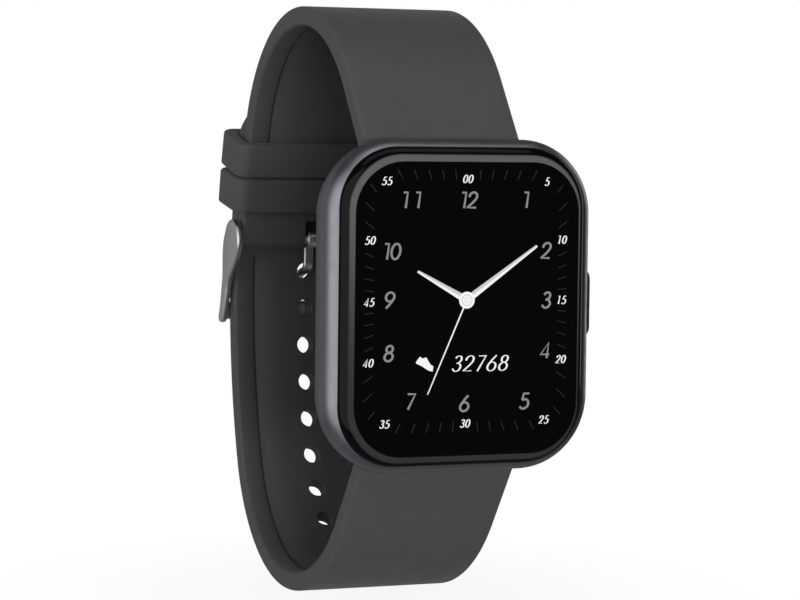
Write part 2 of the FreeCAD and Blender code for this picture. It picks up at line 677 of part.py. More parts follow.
def barrel(name, side):
    """Rolled end of a strap round the spring bar at the case."""
    z = "%d * bar_height" % side
    return rod(name + "_barrel", "-band_width / 2", "bar_depth", z, "barrel_radius", "band_width")


def bar_tools(name, side):
    z = "%d * bar_height" % side
    bore = rod(name + "_bore", "-12", "bar_depth", z, "bar_radius + 0.04", "24")
    return [bore, lever_slot(name + "_lever_slot", side, -9.2, 2.5, 2.6, 1.0)]


def make_upper_band():
    """Short strap at twelve o'clock: carries the buckle."""
    inner_layer = dim("back_radius") - dim("band_thick") - dim("layer_gap")
    strap = Strap(1, dim("crest_height"), dim("crest_depth"), inner_layer)
    middle = inner_layer - dim("band_thick") / 2
    end = math.asin((dim("pin_height") - dim("back_height")) / middle)
    blank = strap_blank("upper", strap.section(0.0, dim("band_thick"), end))
    eye = rod("buckle_eye", "-band_width / 2", "pin_depth", "pin_height",
              "band_thick / 2", "band_width")
    blank = fuse("upper_solid", blank, barrel("upper", 1), eye)
    tools = bar_tools("upper", 1)
    tools.append(rod("pin_bore", "-12", "pin_depth", "pin_height", "pin_radius + 0.05", "24"))
    tools.append(block("tang_slot", "0", "pin_depth - 4", "pin_height - 0.6", "2.5", "8", "6.6"))
    recess_end = math.radians(7.6)
    tools.append(strap_recess("upper", strap, recess_end))
    node("upper_band", cut("upper_band", blank, *tools))


def strap_hole(index, centre, radius, angle):
    """Round hole square to the strap."""
    through = 8.0
    shape = Part.makeCylinder(dim("hole_radius"), through, Vector(0, -through / 2, 0), Y_AXIS)
    y = centre[0] + radius * math.cos(angle)
    z = centre[1] + radius * math.sin(angle)
    shape.Placement = Placement(at_depth(y, z), Rotation(X_AXIS, math.degrees(angle)))
    return drawn("strap_hole_%d" % index, shape)


def hole_places(strap):
    """Centres of the holes: from the used one down round the lower bend."""
    below, round_bend = 5, 2
    back_radius = strap.back_radius - dim("band_thick") / 2
    bend_radius = strap.rear_radius - dim("band_thick") / 2
    back = (strap.back[0], -strap.back[1])
    rear = (strap.rear[0], -strap.rear[1])
    used = math.asin((dim("used_hole") - back[1]) / back_radius)
    step = dim("hole_pitch") / back_radius
    places = [(back, back_radius, used - k * step) for k in range(below + 1)]
    left_over = (below * step - used - strap.turn) * back_radius / bend_radius
    for k in range(1, round_bend + 1):
        angle = -strap.turn - left_over - k * dim("hole_pitch") / bend_radius
        places.append((rear, bend_radius, angle))
    return places


def tail_corners(tip):
    """What lies outside the rounded end of the long strap."""
    wide, reach = dim("band_width"), 60.0
    outline = Part.makeBox(wide, reach, reach, Vector(-wide / 2, -reach / 2, -reach))
    picked = [e for e in outline.Edges if all(abs(v.Z) < 1e-6 for v in e.Vertexes)
              and abs(e.tangentAt(0).y) > 0.9]
    outline = outline.makeFillet(dim("tail_corner"), picked)
    across, thick, high, above = 40.0, 12.0, 16.0, 4.0
    outside = Part.makeBox(across, thick, high, Vector(-across / 2, -thick / 2, above - high))
    outside = outside.cut(outline)
    outside.Placement = Placement(tip, Rotation(X_AXIS, dim("tail_angle")))
    return drawn("tail_corners", outside)


def make_lower_band():
    """Long strap at six o'clock: its tail lies outside the short one."""
    strap = Strap(-1, dim("sole_height"), dim("sole_depth"), dim("back_radius"))
    upper = Strap(1, dim("crest_height"), dim("crest_depth"),
                  dim("back_radius") - dim("band_thick") - dim("layer_gap"))
    tail_angle = math.radians(dim("tail_angle"))
    offset = dim("band_thick") + dim("layer_gap")
    faces = []
    for inset in (0.0, dim("band_thick")):
        run = strap.path(inset, -upper.turn)
        tail_radius = upper.rear_radius + offset - inset
        run.append(upper.arc(upper.rear, tail_radius, upper.turn, tail_angle))
        faces.append(run)
    blank = strap_blank("lower", closed_face(*faces))
    tip = upper.point(upper.rear, upper.rear_radius + offset / 2, tail_angle)
    blank = fuse("lower_solid", blank, barrel("lower", -1))
    tools = bar_tools("lower", -1)
    tools.append(tail_corners(tip))
    recess_end = math.radians(1.5)
    tools.append(strap_recess("lower", strap, recess_end))
    for index, (centre, radius, angle) in enumerate(hole_places(strap)):
        tools.append(strap_hole(index, centre, radius, angle))
    node("lower_band", cut("lower_band", blank, *tools))


# ---------------------------------------------------------------- buckle and keepers
def tapered_arm(name, x, bar_end):
    """Teardrop plate from the pin's eye to the end of the cross bar."""
    width = dim("arm_outer") - dim("arm_inner")
    eye = at_depth(dim("pin_depth"), dim("pin_height"))
    eye_radius, end_radius = dim("eye_radius"), dim("bar_section") / 2
    line = bar_end - eye
    span = line.Length
    lean = math.atan2(line.z, line.y)
    swing = math.acos((eye_radius - end_radius) / span)
    corners = []
    for centre, radius, sign in ((eye, eye_radius, 1), (bar_end, end_radius, 1),
                                 (bar_end, end_radius, -1), (eye, eye_radius, -1)):
        angle = lean + sign * swing
        corners.append(centre + Vector(0, radius * math.cos(angle), radius * math.sin(angle)))
    shape = Part.Face(Part.makePolygon(corners + corners[:1])).extrude(Vector(width, 0, 0))
    for centre, radius in ((eye, eye_radius), (bar_end, end_radius)):
        shape = shape.fuse(Part.makeCylinder(radius, width, centre, X_AXIS))
    shape.translate(Vector(x, 0, 0))
    return drawn(name, shape.removeSplitter())


def make_buckle():
    bar_angle = math.radians(dim("bar_angle"))
    bar_radius = dim("back_radius") + 0.25 + dim("bar_section") / 2
    place = at_depth(dim("back_centre") + bar_radius * math.cos(bar_angle),
                     dim("back_height") + bar_radius * math.sin(bar_angle))
    bar = Part.makeCylinder(dim("bar_section") / 2, 2 * dim("arm_outer"),
                            place - Vector(dim("arm_outer"), 0, 0), X_AXIS)
    arms = [tapered_arm("left_arm", -dim("arm_outer"), place),
            tapered_arm("right_arm", dim("arm_inner"), place)]
    blank = fuse("buckle_blank", drawn("cross_bar", bar), *arms)
    eyes = rod("buckle_eyes", "-14", "pin_depth", "pin_height", "pin_radius + 0.04", "28")
    node("buckle_frame", cut("buckle_frame", blank, eyes))
    node("buckle_pin", rod("buckle_pin", "-arm_outer + 0.15", "pin_depth", "pin_height",
                           "pin_radius", "2 * arm_outer - 0.3"))


def make_tang():
    """Bent blade: curl round the pin, through the hole, on to the cross bar."""
    thick, wide = dim("tang_thick"), dim("tang_width")
    route = ((58.6, 5.6), (58.6, 2.05), (62.9, 0.85), (64.6, -3.4), (64.6, -6.1))
    axis = at_depth(dim("pin_depth"), dim("pin_height"))
    shape = Part.makeCylinder(dim("curl_radius"), wide, axis, X_AXIS)
    for (y0, z0), (y1, z1) in zip(route, route[1:]):
        start = at_depth(y0, z0)
        run = at_depth(y1, z1) - start
        angle = math.degrees(math.atan2(run.z, run.y))
        leg = Part.makeBox(wide, run.Length, thick, Vector(0, 0, -thick / 2))
        leg.Placement = Placement(start, Rotation(X_AXIS, angle))
        shape = shape.fuse(leg)
        shape = shape.fuse(Part.makeCylinder(thick / 2, wide, at_depth(y1, z1), X_AXIS))
    eye = Part.makeCylinder(dim("pin_radius") + 0.05, wide + 2, axis - X_AXIS, X_AXIS)
    shape = shape.cut(eye).removeSplitter()
    shape.translate(Vector(-wide / 2, 0, 0))
    node("buckle_tang", drawn("buckle_tang", shape))


def make_keeper(name, angle_alias):
    """Loop that holds the tail against the short strap."""
    angle = dim(angle_alias)
    inner = dim("back_radius") - 2 * dim("band_thick") - dim("layer_gap") - dim("keeper_gap")
    wall = dim("keeper_wall")
    deep = "2 * band_thick + layer_gap + 2 * keeper_gap"
    outside = on_back(name + "_outside", angle, inner - wall,
                      "2 * arm_inner + 2 * keeper_wall", deep + " + 2 * keeper_wall",
                      "keeper_high")
    inside = on_back(name + "_inside", angle, inner, "2 * arm_inner", deep, "keeper_high + 2")
    blank = rounded(name + "_blank", outside, dim("keeper_round"),
                    lambda e: e.Length > dim("keeper_high") + 1)
    node(name, cut(name, blank, inside))


# ---------------------------------------------------------------- build and write
def check_document():
    doc.recompute()
    for thing in doc.Objects:
        if "Invalid" in thing.State or "Error" in thing.State:
            raise RuntimeError("object failed: %s %s" % (thing.Name, thing.State))
    for label, thing in NODES.items():
        shape = thing.Shape
        if shape.isNull() or not shape.isValid() or not shape.Solids:
            raise RuntimeError("bad shape: " + label)


def write_parts():
    os.makedirs("parts", exist_ok=True)
    for label, thing in NODES.items():
        thing.Shape.exportStep("parts/%s.step" % label)


make_case()
make_screen()
make_display_flex()
make_tray()
make_board()
make_battery()
make_motor()
make_button()
make_back()
make_sensor()
make_spring_bar(1, "upper")
make_spring_bar(-1, "lower")
make_upper_band()
make_lower_band()
make_buckle()
make_tang()
make_keeper("fixed_keeper", "keeper_fixed")
make_keeper("free_keeper", "keeper_free")
check_document()
write_parts()
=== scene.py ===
import math

import bmesh
import bpy
from mathutils import Matrix, Vector


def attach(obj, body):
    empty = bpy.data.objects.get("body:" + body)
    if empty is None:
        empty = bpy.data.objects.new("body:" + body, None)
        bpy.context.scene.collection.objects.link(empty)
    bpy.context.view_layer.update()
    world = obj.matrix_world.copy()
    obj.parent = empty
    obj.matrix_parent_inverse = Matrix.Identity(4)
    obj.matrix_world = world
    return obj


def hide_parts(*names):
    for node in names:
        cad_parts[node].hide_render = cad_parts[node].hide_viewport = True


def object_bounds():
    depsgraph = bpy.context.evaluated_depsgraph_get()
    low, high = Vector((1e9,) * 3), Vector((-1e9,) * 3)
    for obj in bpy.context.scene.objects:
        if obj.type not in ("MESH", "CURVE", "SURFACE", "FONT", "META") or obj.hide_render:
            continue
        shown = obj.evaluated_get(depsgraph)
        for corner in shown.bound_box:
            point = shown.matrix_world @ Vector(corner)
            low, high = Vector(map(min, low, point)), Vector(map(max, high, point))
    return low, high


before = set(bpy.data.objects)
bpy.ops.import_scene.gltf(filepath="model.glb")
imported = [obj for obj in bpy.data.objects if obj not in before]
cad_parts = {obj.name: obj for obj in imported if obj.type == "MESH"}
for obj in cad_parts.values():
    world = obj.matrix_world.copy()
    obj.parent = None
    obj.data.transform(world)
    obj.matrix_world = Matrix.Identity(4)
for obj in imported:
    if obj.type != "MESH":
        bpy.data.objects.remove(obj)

# Smartwatch visual model. Sizes of pieces are millimetres until place() turns them into metres;
# sizes in materials and in the studio are metres.
# A depth is counted backwards (+Y) from the front of the cover glass.

CAD_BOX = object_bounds()
MM = 0.001
FRONT = 34.0


def place(x, depth, z):
    return Vector((x, depth - FRONT, z)) * MM


# ---------------------------------------------------------------- camera
def make_camera():
    """Long lens; its axes and position were solved from the photo."""
    right = Vector((0.92739, -0.37391, 0.01184))
    up = Vector((0.01167, 0.06056, 0.99810))
    ahead = Vector((0.37392, 0.92548, -0.06053))
    position = Vector((-0.13987, -0.35792, 0.02218))
    data = bpy.data.cameras.new("camera")
    data.sensor_width = 36.0
    data.lens = 124.5
    data.clip_start = 0.01
    data.clip_end = 50.0
    camera = bpy.data.objects.new("camera", data)
    bpy.context.scene.collection.objects.link(camera)
    turn = Matrix((right, up, -ahead)).transposed().to_4x4()
    camera.matrix_world = Matrix.Translation(position) @ turn
    bpy.context.scene.camera = camera


# ---------------------------------------------------------------- shader nodes
class Tree:
    """Short calls for building one material's nodes."""

    def __init__(self, name):
        self.material = bpy.data.materials.new(name)
        self.material.use_nodes = True
        self.nodes = self.material.node_tree.nodes
        self.links = self.material.node_tree.links
        self.shader = self.nodes["Principled BSDF"]
        self.where = self.nodes.new("ShaderNodeTexCoord").outputs["Object"]

    def set(self, **values):
        for name, value in values.items():
            self.shader.inputs[name.replace("_", " ")].default_value = value

    def feed(self, socket, source):
        if isinstance(source, bpy.types.NodeSocket):
            self.links.new(source, socket)
        else:
            socket.default_value = source

    def math(self, kind, a, b=0.0):
        node = self.nodes.new("ShaderNodeMath")
        node.operation = kind
        self.feed(node.inputs[0], a)
        self.feed(node.inputs[1], b)
        return node.outputs[0]

    def span(self, value, low, high, to_low=0.0, to_high=1.0):
        node = self.nodes.new("ShaderNodeMapRange")
        node.interpolation_type = "SMOOTHSTEP"
        for index, item in enumerate((value, low, high, to_low, to_high)):
            self.feed(node.inputs[index], item)
        return node.outputs[0]

    def mix(self, share, a, b):
        node = self.nodes.new("ShaderNodeMix")
        node.data_type = "RGBA"
        for name, item in (("Factor", share), ("A", a), ("B", b)):
            sockets = [s for s in node.inputs if s.name == name and s.enabled]
            self.feed(sockets[0], item)
        return [s for s in node.outputs if s.enabled][0]

    def stretched(self, x, y, z):
        node = self.nodes.new("ShaderNodeMapping")
        self.links.new(self.where, node.inputs["Vector"])
        node.inputs["Scale"].default_value = (x, y, z)
        return node.outputs[0]

    def noise(self, scale, detail=2.0, where=None):
        node = self.nodes.new("ShaderNodeTexNoise")
        node.inputs["Scale"].default_value = scale
        node.inputs["Detail"].default_value = detail
        self.links.new(where or self.where, node.inputs["Vector"])
        return node.outputs["Fac"]

    def voronoi(self, scale):
        node = self.nodes.new("ShaderNodeTexVoronoi")
        node.inputs["Scale"].default_value = scale
        self.links.new(self.where, node.inputs["Vector"])
        return node.outputs["Distance"]

    def axes(self):
        node = self.nodes.new("ShaderNodeSeparateXYZ")
        self.links.new(self.where, node.inputs[0])
        return node.outputs

    def bump(self, height, strength, distance):
        node = self.nodes.new("ShaderNodeBump")
        node.inputs["Strength"].default_value = strength
        node.inputs["Distance"].default_value = distance
        self.links.new(height, node.inputs["Height"])
        self.links.new(node.outputs[0], self.shader.inputs["Normal"])


def grey(level, tint=(1.0, 1.0, 1.0)):
    return (level * tint[0], level * tint[1], level * tint[2], 1.0)


def surface(name, dark, light, rough, grain=8000.0, height=4e-6, **values):
    """Mottled colour between two tones, uneven roughness and a fine grain."""
    blotch = 90.0
    tree = Tree(name)
    tree.set(**values)
    tree.feed(tree.shader.inputs["Base Color"], tree.mix(tree.noise(blotch, 4.0), dark, light))
    patches = tree.span(tree.noise(blotch * 5, 3.0), 0.3, 0.7, rough[0], rough[1])
    tree.feed(tree.shader.inputs["Roughness"], patches)
    tree.bump(tree.noise(grain, 3.0), 0.6, height)
    return tree.material


def silicone():
    """Soft moulded rubber: matt, finely pebbled, with a little dust held on it."""
    tree = Tree("silicone")
    tree.set(Sheen_Weight=0.05, Sheen_Roughness=0.5, IOR=1.42, Specular_IOR_Level=0.35)
    cloud = tree.mix(tree.noise(60.0, 5.0), grey(0.043, (0.99, 1.0, 1.02)), grey(0.052))
    specks = tree.span(tree.voronoi(900.0), 0.035, 0.0)
    sparse = tree.span(tree.noise(210.0, 1.0), 0.58, 0.66)
    dust = tree.math("MULTIPLY", specks, sparse)
    tree.feed(tree.shader.inputs["Base Color"], tree.mix(dust, cloud, grey(0.12)))
    tree.feed(tree.shader.inputs["Roughness"], tree.span(tree.noise(350.0, 4.0), 0.3, 0.7, 0.5, 0.62))
    tree.bump(tree.noise(5200.0, 3.0), 0.5, 1.2e-5)
    return tree.material


def anodised(name, tone):
    """Bead-blasted and dyed aluminium."""
    tree = Tree(name)
    tree.set(Metallic=1.0)
    dark = grey(tone * 0.93, (0.97, 0.97, 1.12))
    light = grey(tone * 1.05, (0.98, 0.98, 1.09))
    tree.feed(tree.shader.inputs["Base Color"], tree.mix(tree.noise(240.0, 4.0), dark, light))
    tree.feed(tree.shader.inputs["Roughness"], tree.span(tree.noise(700.0, 3.0), 0.3, 0.7, 0.36, 0.44))
    tree.bump(tree.noise(14000.0, 2.0), 0.5, 5e-6)
    return tree.material


def polished(name):
    """Polished steel with faint hairlines along X and small rubbed patches."""
    tree = Tree(name)
    tree.set(Metallic=1.0)
    lines = tree.noise(1.0, 2.0, tree.stretched(150.0, 2500.0, 2500.0))
    tone = tree.mix(tree.noise(300.0, 3.0), grey(0.80, (1.0, 0.99, 0.97)), grey(0.88))
    tree.feed(tree.shader.inputs["Base Color"], tone)
    tree.feed(tree.shader.inputs["Roughness"], tree.span(lines, 0.3, 0.7, 0.34, 0.42))
    tree.bump(lines, 0.1, 5e-7)
    return tree.material


def rounded_distance(tree, centre, half, corner):
    """Signed distance to a rounded rectangle in x and z, in metres."""
    x, _, z = tree.axes()
    sides = []
    for value, middle, reach in ((x, centre[0], half[0]), (z, centre[1], half[1])):
        off = tree.math("ABSOLUTE", tree.math("SUBTRACT", value, middle * MM))
        sides.append(tree.math("SUBTRACT", off, (reach - corner) * MM))
    squares = []
    for side in sides:
        beyond = tree.math("MAXIMUM", side, 0.0)
        squares.append(tree.math("MULTIPLY", beyond, beyond))
    outside = tree.math("SQRT", tree.math("ADD", *squares))
    inside = tree.math("MINIMUM", tree.math("MAXIMUM", *sides), 0.0)
    return tree.math("SUBTRACT", tree.math("ADD", outside, inside), corner * MM)


def cover_glass():
    """Polished glass, black as the paint and the dark display behind it, with a grey band that is a
    painted reflection of light caught by the rolled edge, painted lighter towards the top.
    """
    tree = Tree("cover_glass")
    tree.set(IOR=1.5, Specular_IOR_Level=0.13)
    outer = rounded_distance(tree, centre=(0.185, -0.235), half=(16.105, 19.705), corner=7.2)
    inner = rounded_distance(tree, centre=(0.43, -0.29), half=(15.54, 18.82), corner=6.6)
    # Mask of the grey band between two rounded outlines: painted reflection of the rolled edge's
    # catch-light, not print.
    in_outer = tree.span(outer, 0.00008, -0.00025)
    past_inner = tree.span(inner, -0.00006, 0.00006)
    painted_reflection_band = tree.math("MULTIPLY", in_outer, past_inner)
    _, _, z = tree.axes()
    # Painted highlight: the band's grey is lighter towards the top and darker towards the bottom, as if
    # lit from above.
    painted_reflection_tone = tree.mix(tree.span(z, -0.012, 0.019), grey(0.022), grey(0.072))
    shade = tree.mix(painted_reflection_band, grey(0.0015), painted_reflection_tone)
    tree.feed(tree.shader.inputs["Base Color"], shade)
    tree.feed(tree.shader.inputs["Roughness"], tree.span(tree.noise(300.0, 3.0), 0.3, 0.7, 0.05, 0.09))
    return tree.material


def lit(name, level):
    """Part of the display that gives light; the pixel grid shows close up."""
    tree = Tree(name)
    tree.set(Base_Color=(0.0, 0.0, 0.0, 1.0), Roughness=0.5, Emission_Strength=1.0)
    grid = tree.span(tree.noise(9000.0, 1.0), 0.2, 0.5, 0.93, 1.0)
    tree.feed(tree.shader.inputs["Emission Color"], tree.mix(grid, grey(level * 0.8), grey(level)))
    return tree.material


MATERIALS = {}


def make_materials():
    made = MATERIALS
    made["silicone"] = silicone()
    made["anodised_case"] = anodised("anodised_case", 0.30)
    made["anodised_button"] = anodised("anodised_button", 0.27)
    made["buckle_steel"] = polished("buckle_steel")
    made["steel"] = surface("steel", grey(0.42), grey(0.5), (0.25, 0.4), Metallic=1.0)
    made["spring_steel"] = surface("spring_steel", grey(0.4), grey(0.46), (0.2, 0.35), Metallic=1.0)
    made["tin_steel"] = surface("tin_steel", grey(0.5), grey(0.6), (0.35, 0.5), Metallic=1.0)
    made["tungsten"] = surface("tungsten", grey(0.2), grey(0.26), (0.4, 0.5), Metallic=1.0)
    made["magnet"] = surface("magnet", grey(0.45), grey(0.55), (0.15, 0.3), Metallic=1.0)
    gold = (1.0, 0.72, 0.32)
    made["gold_contact"] = surface("gold_contact", grey(0.7, gold), grey(0.8, gold), (0.2, 0.35),
                                   Metallic=1.0)
    made["cover_glass"] = cover_glass()
    made["display"] = surface("display", grey(0.0012), grey(0.002), (0.45, 0.6), height=1e-6,
                              Specular_IOR_Level=0.03)
    made["black_adhesive"] = surface("black_adhesive", grey(0.01), grey(0.014), (0.6, 0.7))
    made["polyimide"] = surface("polyimide", (0.32, 0.12, 0.02, 1), (0.4, 0.17, 0.03, 1), (0.35, 0.5))
    made["tray_plastic"] = surface("tray_plastic", grey(0.02), grey(0.03), (0.5, 0.6), height=1e-5)
    made["board"] = surface("board", (0.008, 0.05, 0.03, 1), (0.012, 0.07, 0.04, 1), (0.4, 0.5))
    made["chip_black"] = surface("chip_black", grey(0.018), grey(0.025), (0.5, 0.6), height=8e-6)
    made["battery_foil"] = surface("battery_foil", grey(0.4), grey(0.5), (0.4, 0.55), height=1e-5,
                                   Metallic=0.8)
    made["foam"] = surface("foam", grey(0.05), grey(0.08), (0.85, 0.95), grain=3000.0, height=5e-5)
    made["seal_rubber"] = surface("seal_rubber", grey(0.02), grey(0.03), (0.6, 0.7), height=8e-6)
    made["back_plastic"] = surface("back_plastic", grey(0.022), grey(0.028), (0.38, 0.5),
                                   grain=5000.0, height=1e-5)
    made["window_glass"] = surface("window_glass", grey(0.004), grey(0.006), (0.05, 0.09),
                                   height=1e-6, Coat_Weight=0.5)
    made["led"] = surface("led", (0.55, 0.6, 0.3, 1), (0.65, 0.7, 0.4, 1), (0.3, 0.4))
    made["hour_light"] = lit("hour_light", 0.25)
    made["minute_light"] = lit("minute_light", 0.90)
    made["tick_light"] = lit("tick_light", 0.018)
    made["hand_bright"] = lit("hand_bright", 0.92)
    made["hand_soft"] = lit("hand_soft", 0.60)
    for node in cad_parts.values():
        for slot in node.material_slots:
            slot.material = made[slot.material.name.split(".")[0]]


# ---------------------------------------------------------------- meshes
def piece(name, mesh, body, materials, replaced=()):
    thing = bpy.data.objects.new(name, mesh)
    bpy.context.scene.collection.objects.link(thing)
    for material in materials:
        mesh.materials.append(MATERIALS[material])
    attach(thing, body)
    if replaced:
        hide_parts(*replaced)
    return thing


def loft(name, rings, closed=False):
    """Mesh through rings of equal length; an open run gets end caps."""
    mesh = bpy.data.meshes.new(name)
    form = bmesh.new()
    rows = [[form.verts.new(point) for point in ring] for ring in rings]
    count = len(rows[0])
    following = rows[1:] + (rows[:1] if closed else [])
    for row, after in zip(rows, following):
        for i in range(count):
            j = (i + 1) % count
            form.faces.new((row[i], row[j], after[j], after[i]))
    if not closed:
        form.faces.new(rows[0][::-1])
        form.faces.new(rows[-1])
    bmesh.ops.recalc_face_normals(form, faces=form.faces)
    form.to_mesh(mesh)
    form.free()
    mesh.shade_smooth()
    return mesh


def join_meshes(name, meshes):
    mesh = bpy.data.meshes.new(name)
    form = bmesh.new()
    for part in meshes:
        form.from_mesh(part)
    form.to_mesh(mesh)
    form.free()
    return mesh


def carve(mesh, tool, kind="DIFFERENCE"):
    """Boolean of two meshes, as a new mesh."""
    holder = bpy.data.objects.new("carve_base", mesh)
    cutter = bpy.data.objects.new("carve_tool", tool)
    for thing in (holder, cutter):
        bpy.context.scene.collection.objects.link(thing)
    modifier = holder.modifiers.new("carve", "BOOLEAN")
    modifier.operation = kind
    modifier.solver = "EXACT"
    modifier.object = cutter
    bpy.context.view_layer.update()
    graph = bpy.context.evaluated_depsgraph_get()
    made = bpy.data.meshes.new_from_object(holder.evaluated_get(graph))
    for thing in (holder, cutter):
        bpy.data.objects.remove(thing)
    return made


def sharpen(mesh, degrees=38.0):
    mesh.shade_smooth()
    mesh.set_sharp_from_angle(angle=math.radians(degrees))
    return mesh


def on_arc(centre, radius, angle):
    return centre[0] + radius * math.cos(angle), centre[1] + radius * math.sin(angle)


def arc_points(centre, radius, first, last, steps):
    """Points on an arc in a plane, angles in degrees."""
    points = []
    for k in range(steps + 1):
        angle = math.radians(first + (last - first) * k / steps)
        points.append(on_arc(centre, radius, angle))
    return points


def rounded_loop(half_x, half_y, corner, steps=8):
    """Closed outline of a rounded rectangle about the origin."""
    points = []
    for sx, sy, first in ((1, 1, 0), (-1, 1, 90), (-1, -1, 180), (1, -1, 270)):
        centre = (sx * (half_x - corner), sy * (half_y - corner))
        points += arc_points(centre, corner, first, first + 90, steps)
    return points


# ---------------------------------------------------------------- strap line
# Half width, thickness, edge radius and slope at the case of both straps; half width and depth
# of the sunk inner face.
BAND = {"half": 11.0, "thick": 2.6, "edge": 0.5, "slope": 53.0, "recess": 8.2, "deep": 0.3}
# Edge of the sunk inner face: (shift in x, share of the depth), with a groove along its foot.
RECESS_EDGE = ((0.12, 0.0), (0.04, 0.2), (0.0, 0.8), (-0.06, 2.6), (-0.2, 3.0), (-0.34, 2.6),
               (-0.42, 1.2), (-0.5, 1.0))
STEP = 0.6  # length between two sections of a strap
EXIT = (8.2, 21.7)  # depth and height where the outer face leaves the case
ROOT = 2.3  # length of strap inside the case's notch
BACK = (-17.8, -1.0)  # centre of the arc behind the wrist
OUTER_BACK = 80.0  # radius of that arc on the outer strap
LAYER = BAND["thick"] + 0.15  # one strap and the slack over it
# Lengths at a strap's ends that have its full section, and those over which its inner face sinks.
ROOT_FULL = 6.5
BUCKLE_FULL = 8.5
TAIL_FULL = 24.0
SINK = 1.2
BUCKLE_SINK = 0.8

BAR = (8.0, 18.7)  # spring bar: depth, height
BAR_BORE = 0.79
BARREL = 1.25  # rounded end of the strap round the bar
LEVER_TILT = -20.0
LEVER_SLOT = (-9.2, -6.7)
PIN = (57.8, 6.3)  # buckle pin: depth, height
PIN_BORE = 0.85
USED_HOLE = 1.55  # height of the hole in use
HOLE_RADIUS = 1.25
HOLE_PITCH = 5.5
ARM = (11.35, 12.3)  # inner and outer face of a buckle arm
EYE_RADIUS = 3.0
TAIL_RADIUS = 0.85
BAR_SECTION = 1.7


class StrapLine:
    """Outer side view of one strap: a line and tangent arcs, as depth and height."""

    def __init__(self, side, crest, crest_depth, back_radius):
        slope = math.radians(BAND["slope"])
        run = (crest_depth - EXIT[0]) * math.sin(slope)
        rise = (crest - EXIT[1]) * math.cos(slope)
        self.side = side
        self.back_radius = back_radius
        self.front_radius = (run - rise) / (1 - math.cos(slope))
        self.front = (crest_depth, crest - self.front_radius)
        reach = crest_depth - BACK[0]
        climb = crest - side * BACK[1]
        spare = back_radius ** 2 - reach ** 2 - climb ** 2
        self.rear_radius = spare / (2 * (back_radius - climb))
        self.rear = (crest_depth, crest - self.rear_radius)
        turn = math.atan2(self.rear[1] - side * BACK[1], reach)
        self.turn = math.degrees(turn)
        self.pieces = []
        self.add(self.front, self.front_radius, 90 + BAND["slope"], 90)
        self.add(self.rear, self.rear_radius, 90, self.turn)

    def add(self, centre, radius, first, last):
        """Append an arc given in the strap's own, upper-side angles."""
        side = self.side
        self.pieces.append(((centre[0], side * centre[1]), radius, side * first, side * last))

    def add_back(self, last):
        self.pieces.append((BACK, self.back_radius, self.side * self.turn, last))

    def stations(self, step):
        """(outer point, angle of its normal, length from the start), a run of them."""
        side = self.side
        slope = math.radians(BAND["slope"])
        centre, radius, first, _ = self.pieces[0]
        start = (EXIT[0] - ROOT * math.cos(slope), side * (EXIT[1] - ROOT * math.sin(slope)))
        end = on_arc(centre, radius, math.radians(first))
        span = math.dist(start, end)
        count = max(2, round(span / step))
        found = []
        for k in range(count):
            share = k / count
            point = [a + (b - a) * share for a, b in zip(start, end)]
            found.append((point, first, span * share))
        gone = span
        for index, (centre, radius, first, last) in enumerate(self.pieces):
            length = radius * math.radians(abs(last - first))
            count = max(2, round(length / step))
            finish = count + 1 if index == len(self.pieces) - 1 else count
            for k in range(finish):
                angle = first + (last - first) * k / count
                point = on_arc(centre, radius, math.radians(angle))
                found.append((point, angle, gone + length * k / count))
            gone += length
        return found


def band_ring(half, outer, inner, recess):
    """Section of a strap as (x, inset) pairs, clockwise from the outer left."""
    edge = min(BAND["edge"], half * 0.5, (inner - outer) * 0.49)
    points = []
    flats = 8
    reach = half - edge
    for k in range(flats + 1):
        points.append((-reach + 2 * reach * k / flats, outer))
    points += arc_points((reach, outer + edge), edge, -90, 0, 5)[1:]
    points += arc_points((reach, inner - edge), edge, 0, 90, 5)
    lip = BAND["recess"]
    widest = lip + RECESS_EDGE[0][0]
    squeeze = min(1.0, reach * 0.98 / widest)
    steps = [(lip + shift, share) for shift, share in RECESS_EDGE] + [(lip * 0.5, 1.0)]
    for x, share in steps + [(0.0, 1.0)]:
        points.append((x * squeeze, inner - recess * share))
    for x, share in steps[::-1]:
        points.append((-x * squeeze, inner - recess * share))
    points += arc_points((-reach, inner - edge), edge, 90, 180, 5)
    points += arc_points((-reach, outer + edge), edge, 180, 270, 5)[:-1]
    return points


def at_station(station, x, inset):
    point, angle, _ = station
    turn = math.radians(angle)
    return place(x, point[0] - inset * math.cos(turn), point[1] - inset * math.sin(turn))


def ease(value):
    value = max(0.0, min(1.0, value))
    return value * value * (3 - 2 * value)


def along_x(name, centre, radius, half, steps=40, soft=0.0):
    """Cylinder along X, its ends rounded by soft."""
    profile = [(-half, radius - soft)]
    for x, r in arc_points((-half + soft, radius - soft), soft, 180, 90, 4 if soft else 1)[1:]:
        profile.append((x, r))
    profile += [(-x, r) for x, r in reversed(profile)]
    rings = []
    for x, r in profile:
        ring = arc_points(centre, r, 0, 360 - 360 / steps, steps - 1)
        rings.append([place(x, y, z) for y, z in ring])
    return loft(name, rings)


def tilted_axes(angle):
    """Unit vectors along this angle of the side view, and across it."""
    turn = math.radians(angle)
    return Vector((0, math.cos(turn), math.sin(turn))), Vector((0, -math.sin(turn), math.cos(turn)))


def hole_cutter(name, spot, angle, radius):
    """Round hole through a strap, its rims eased at both faces."""
    rim = 0.22
    over = 0.6
    half = BAND["thick"] / 2
    levels = [(-half - over, rim)]
    for depth, inset in arc_points((0.0, 0.0), rim, 0, 90, 4):
        levels.append((-half + rim - depth, rim - inset))
    levels += [(-level, extra) for level, extra in reversed(levels)]
    out, up = tilted_axes(angle)
    centre = place(0, *spot)
    rings = []
    for level, extra in levels:
        ring = arc_points((0.0, 0.0), radius + extra, 0, 350, 35)
        rings.append([centre + (Vector((x, 0, 0)) + up * z + out * level) * MM for x, z in ring])
    return loft(name, rings)


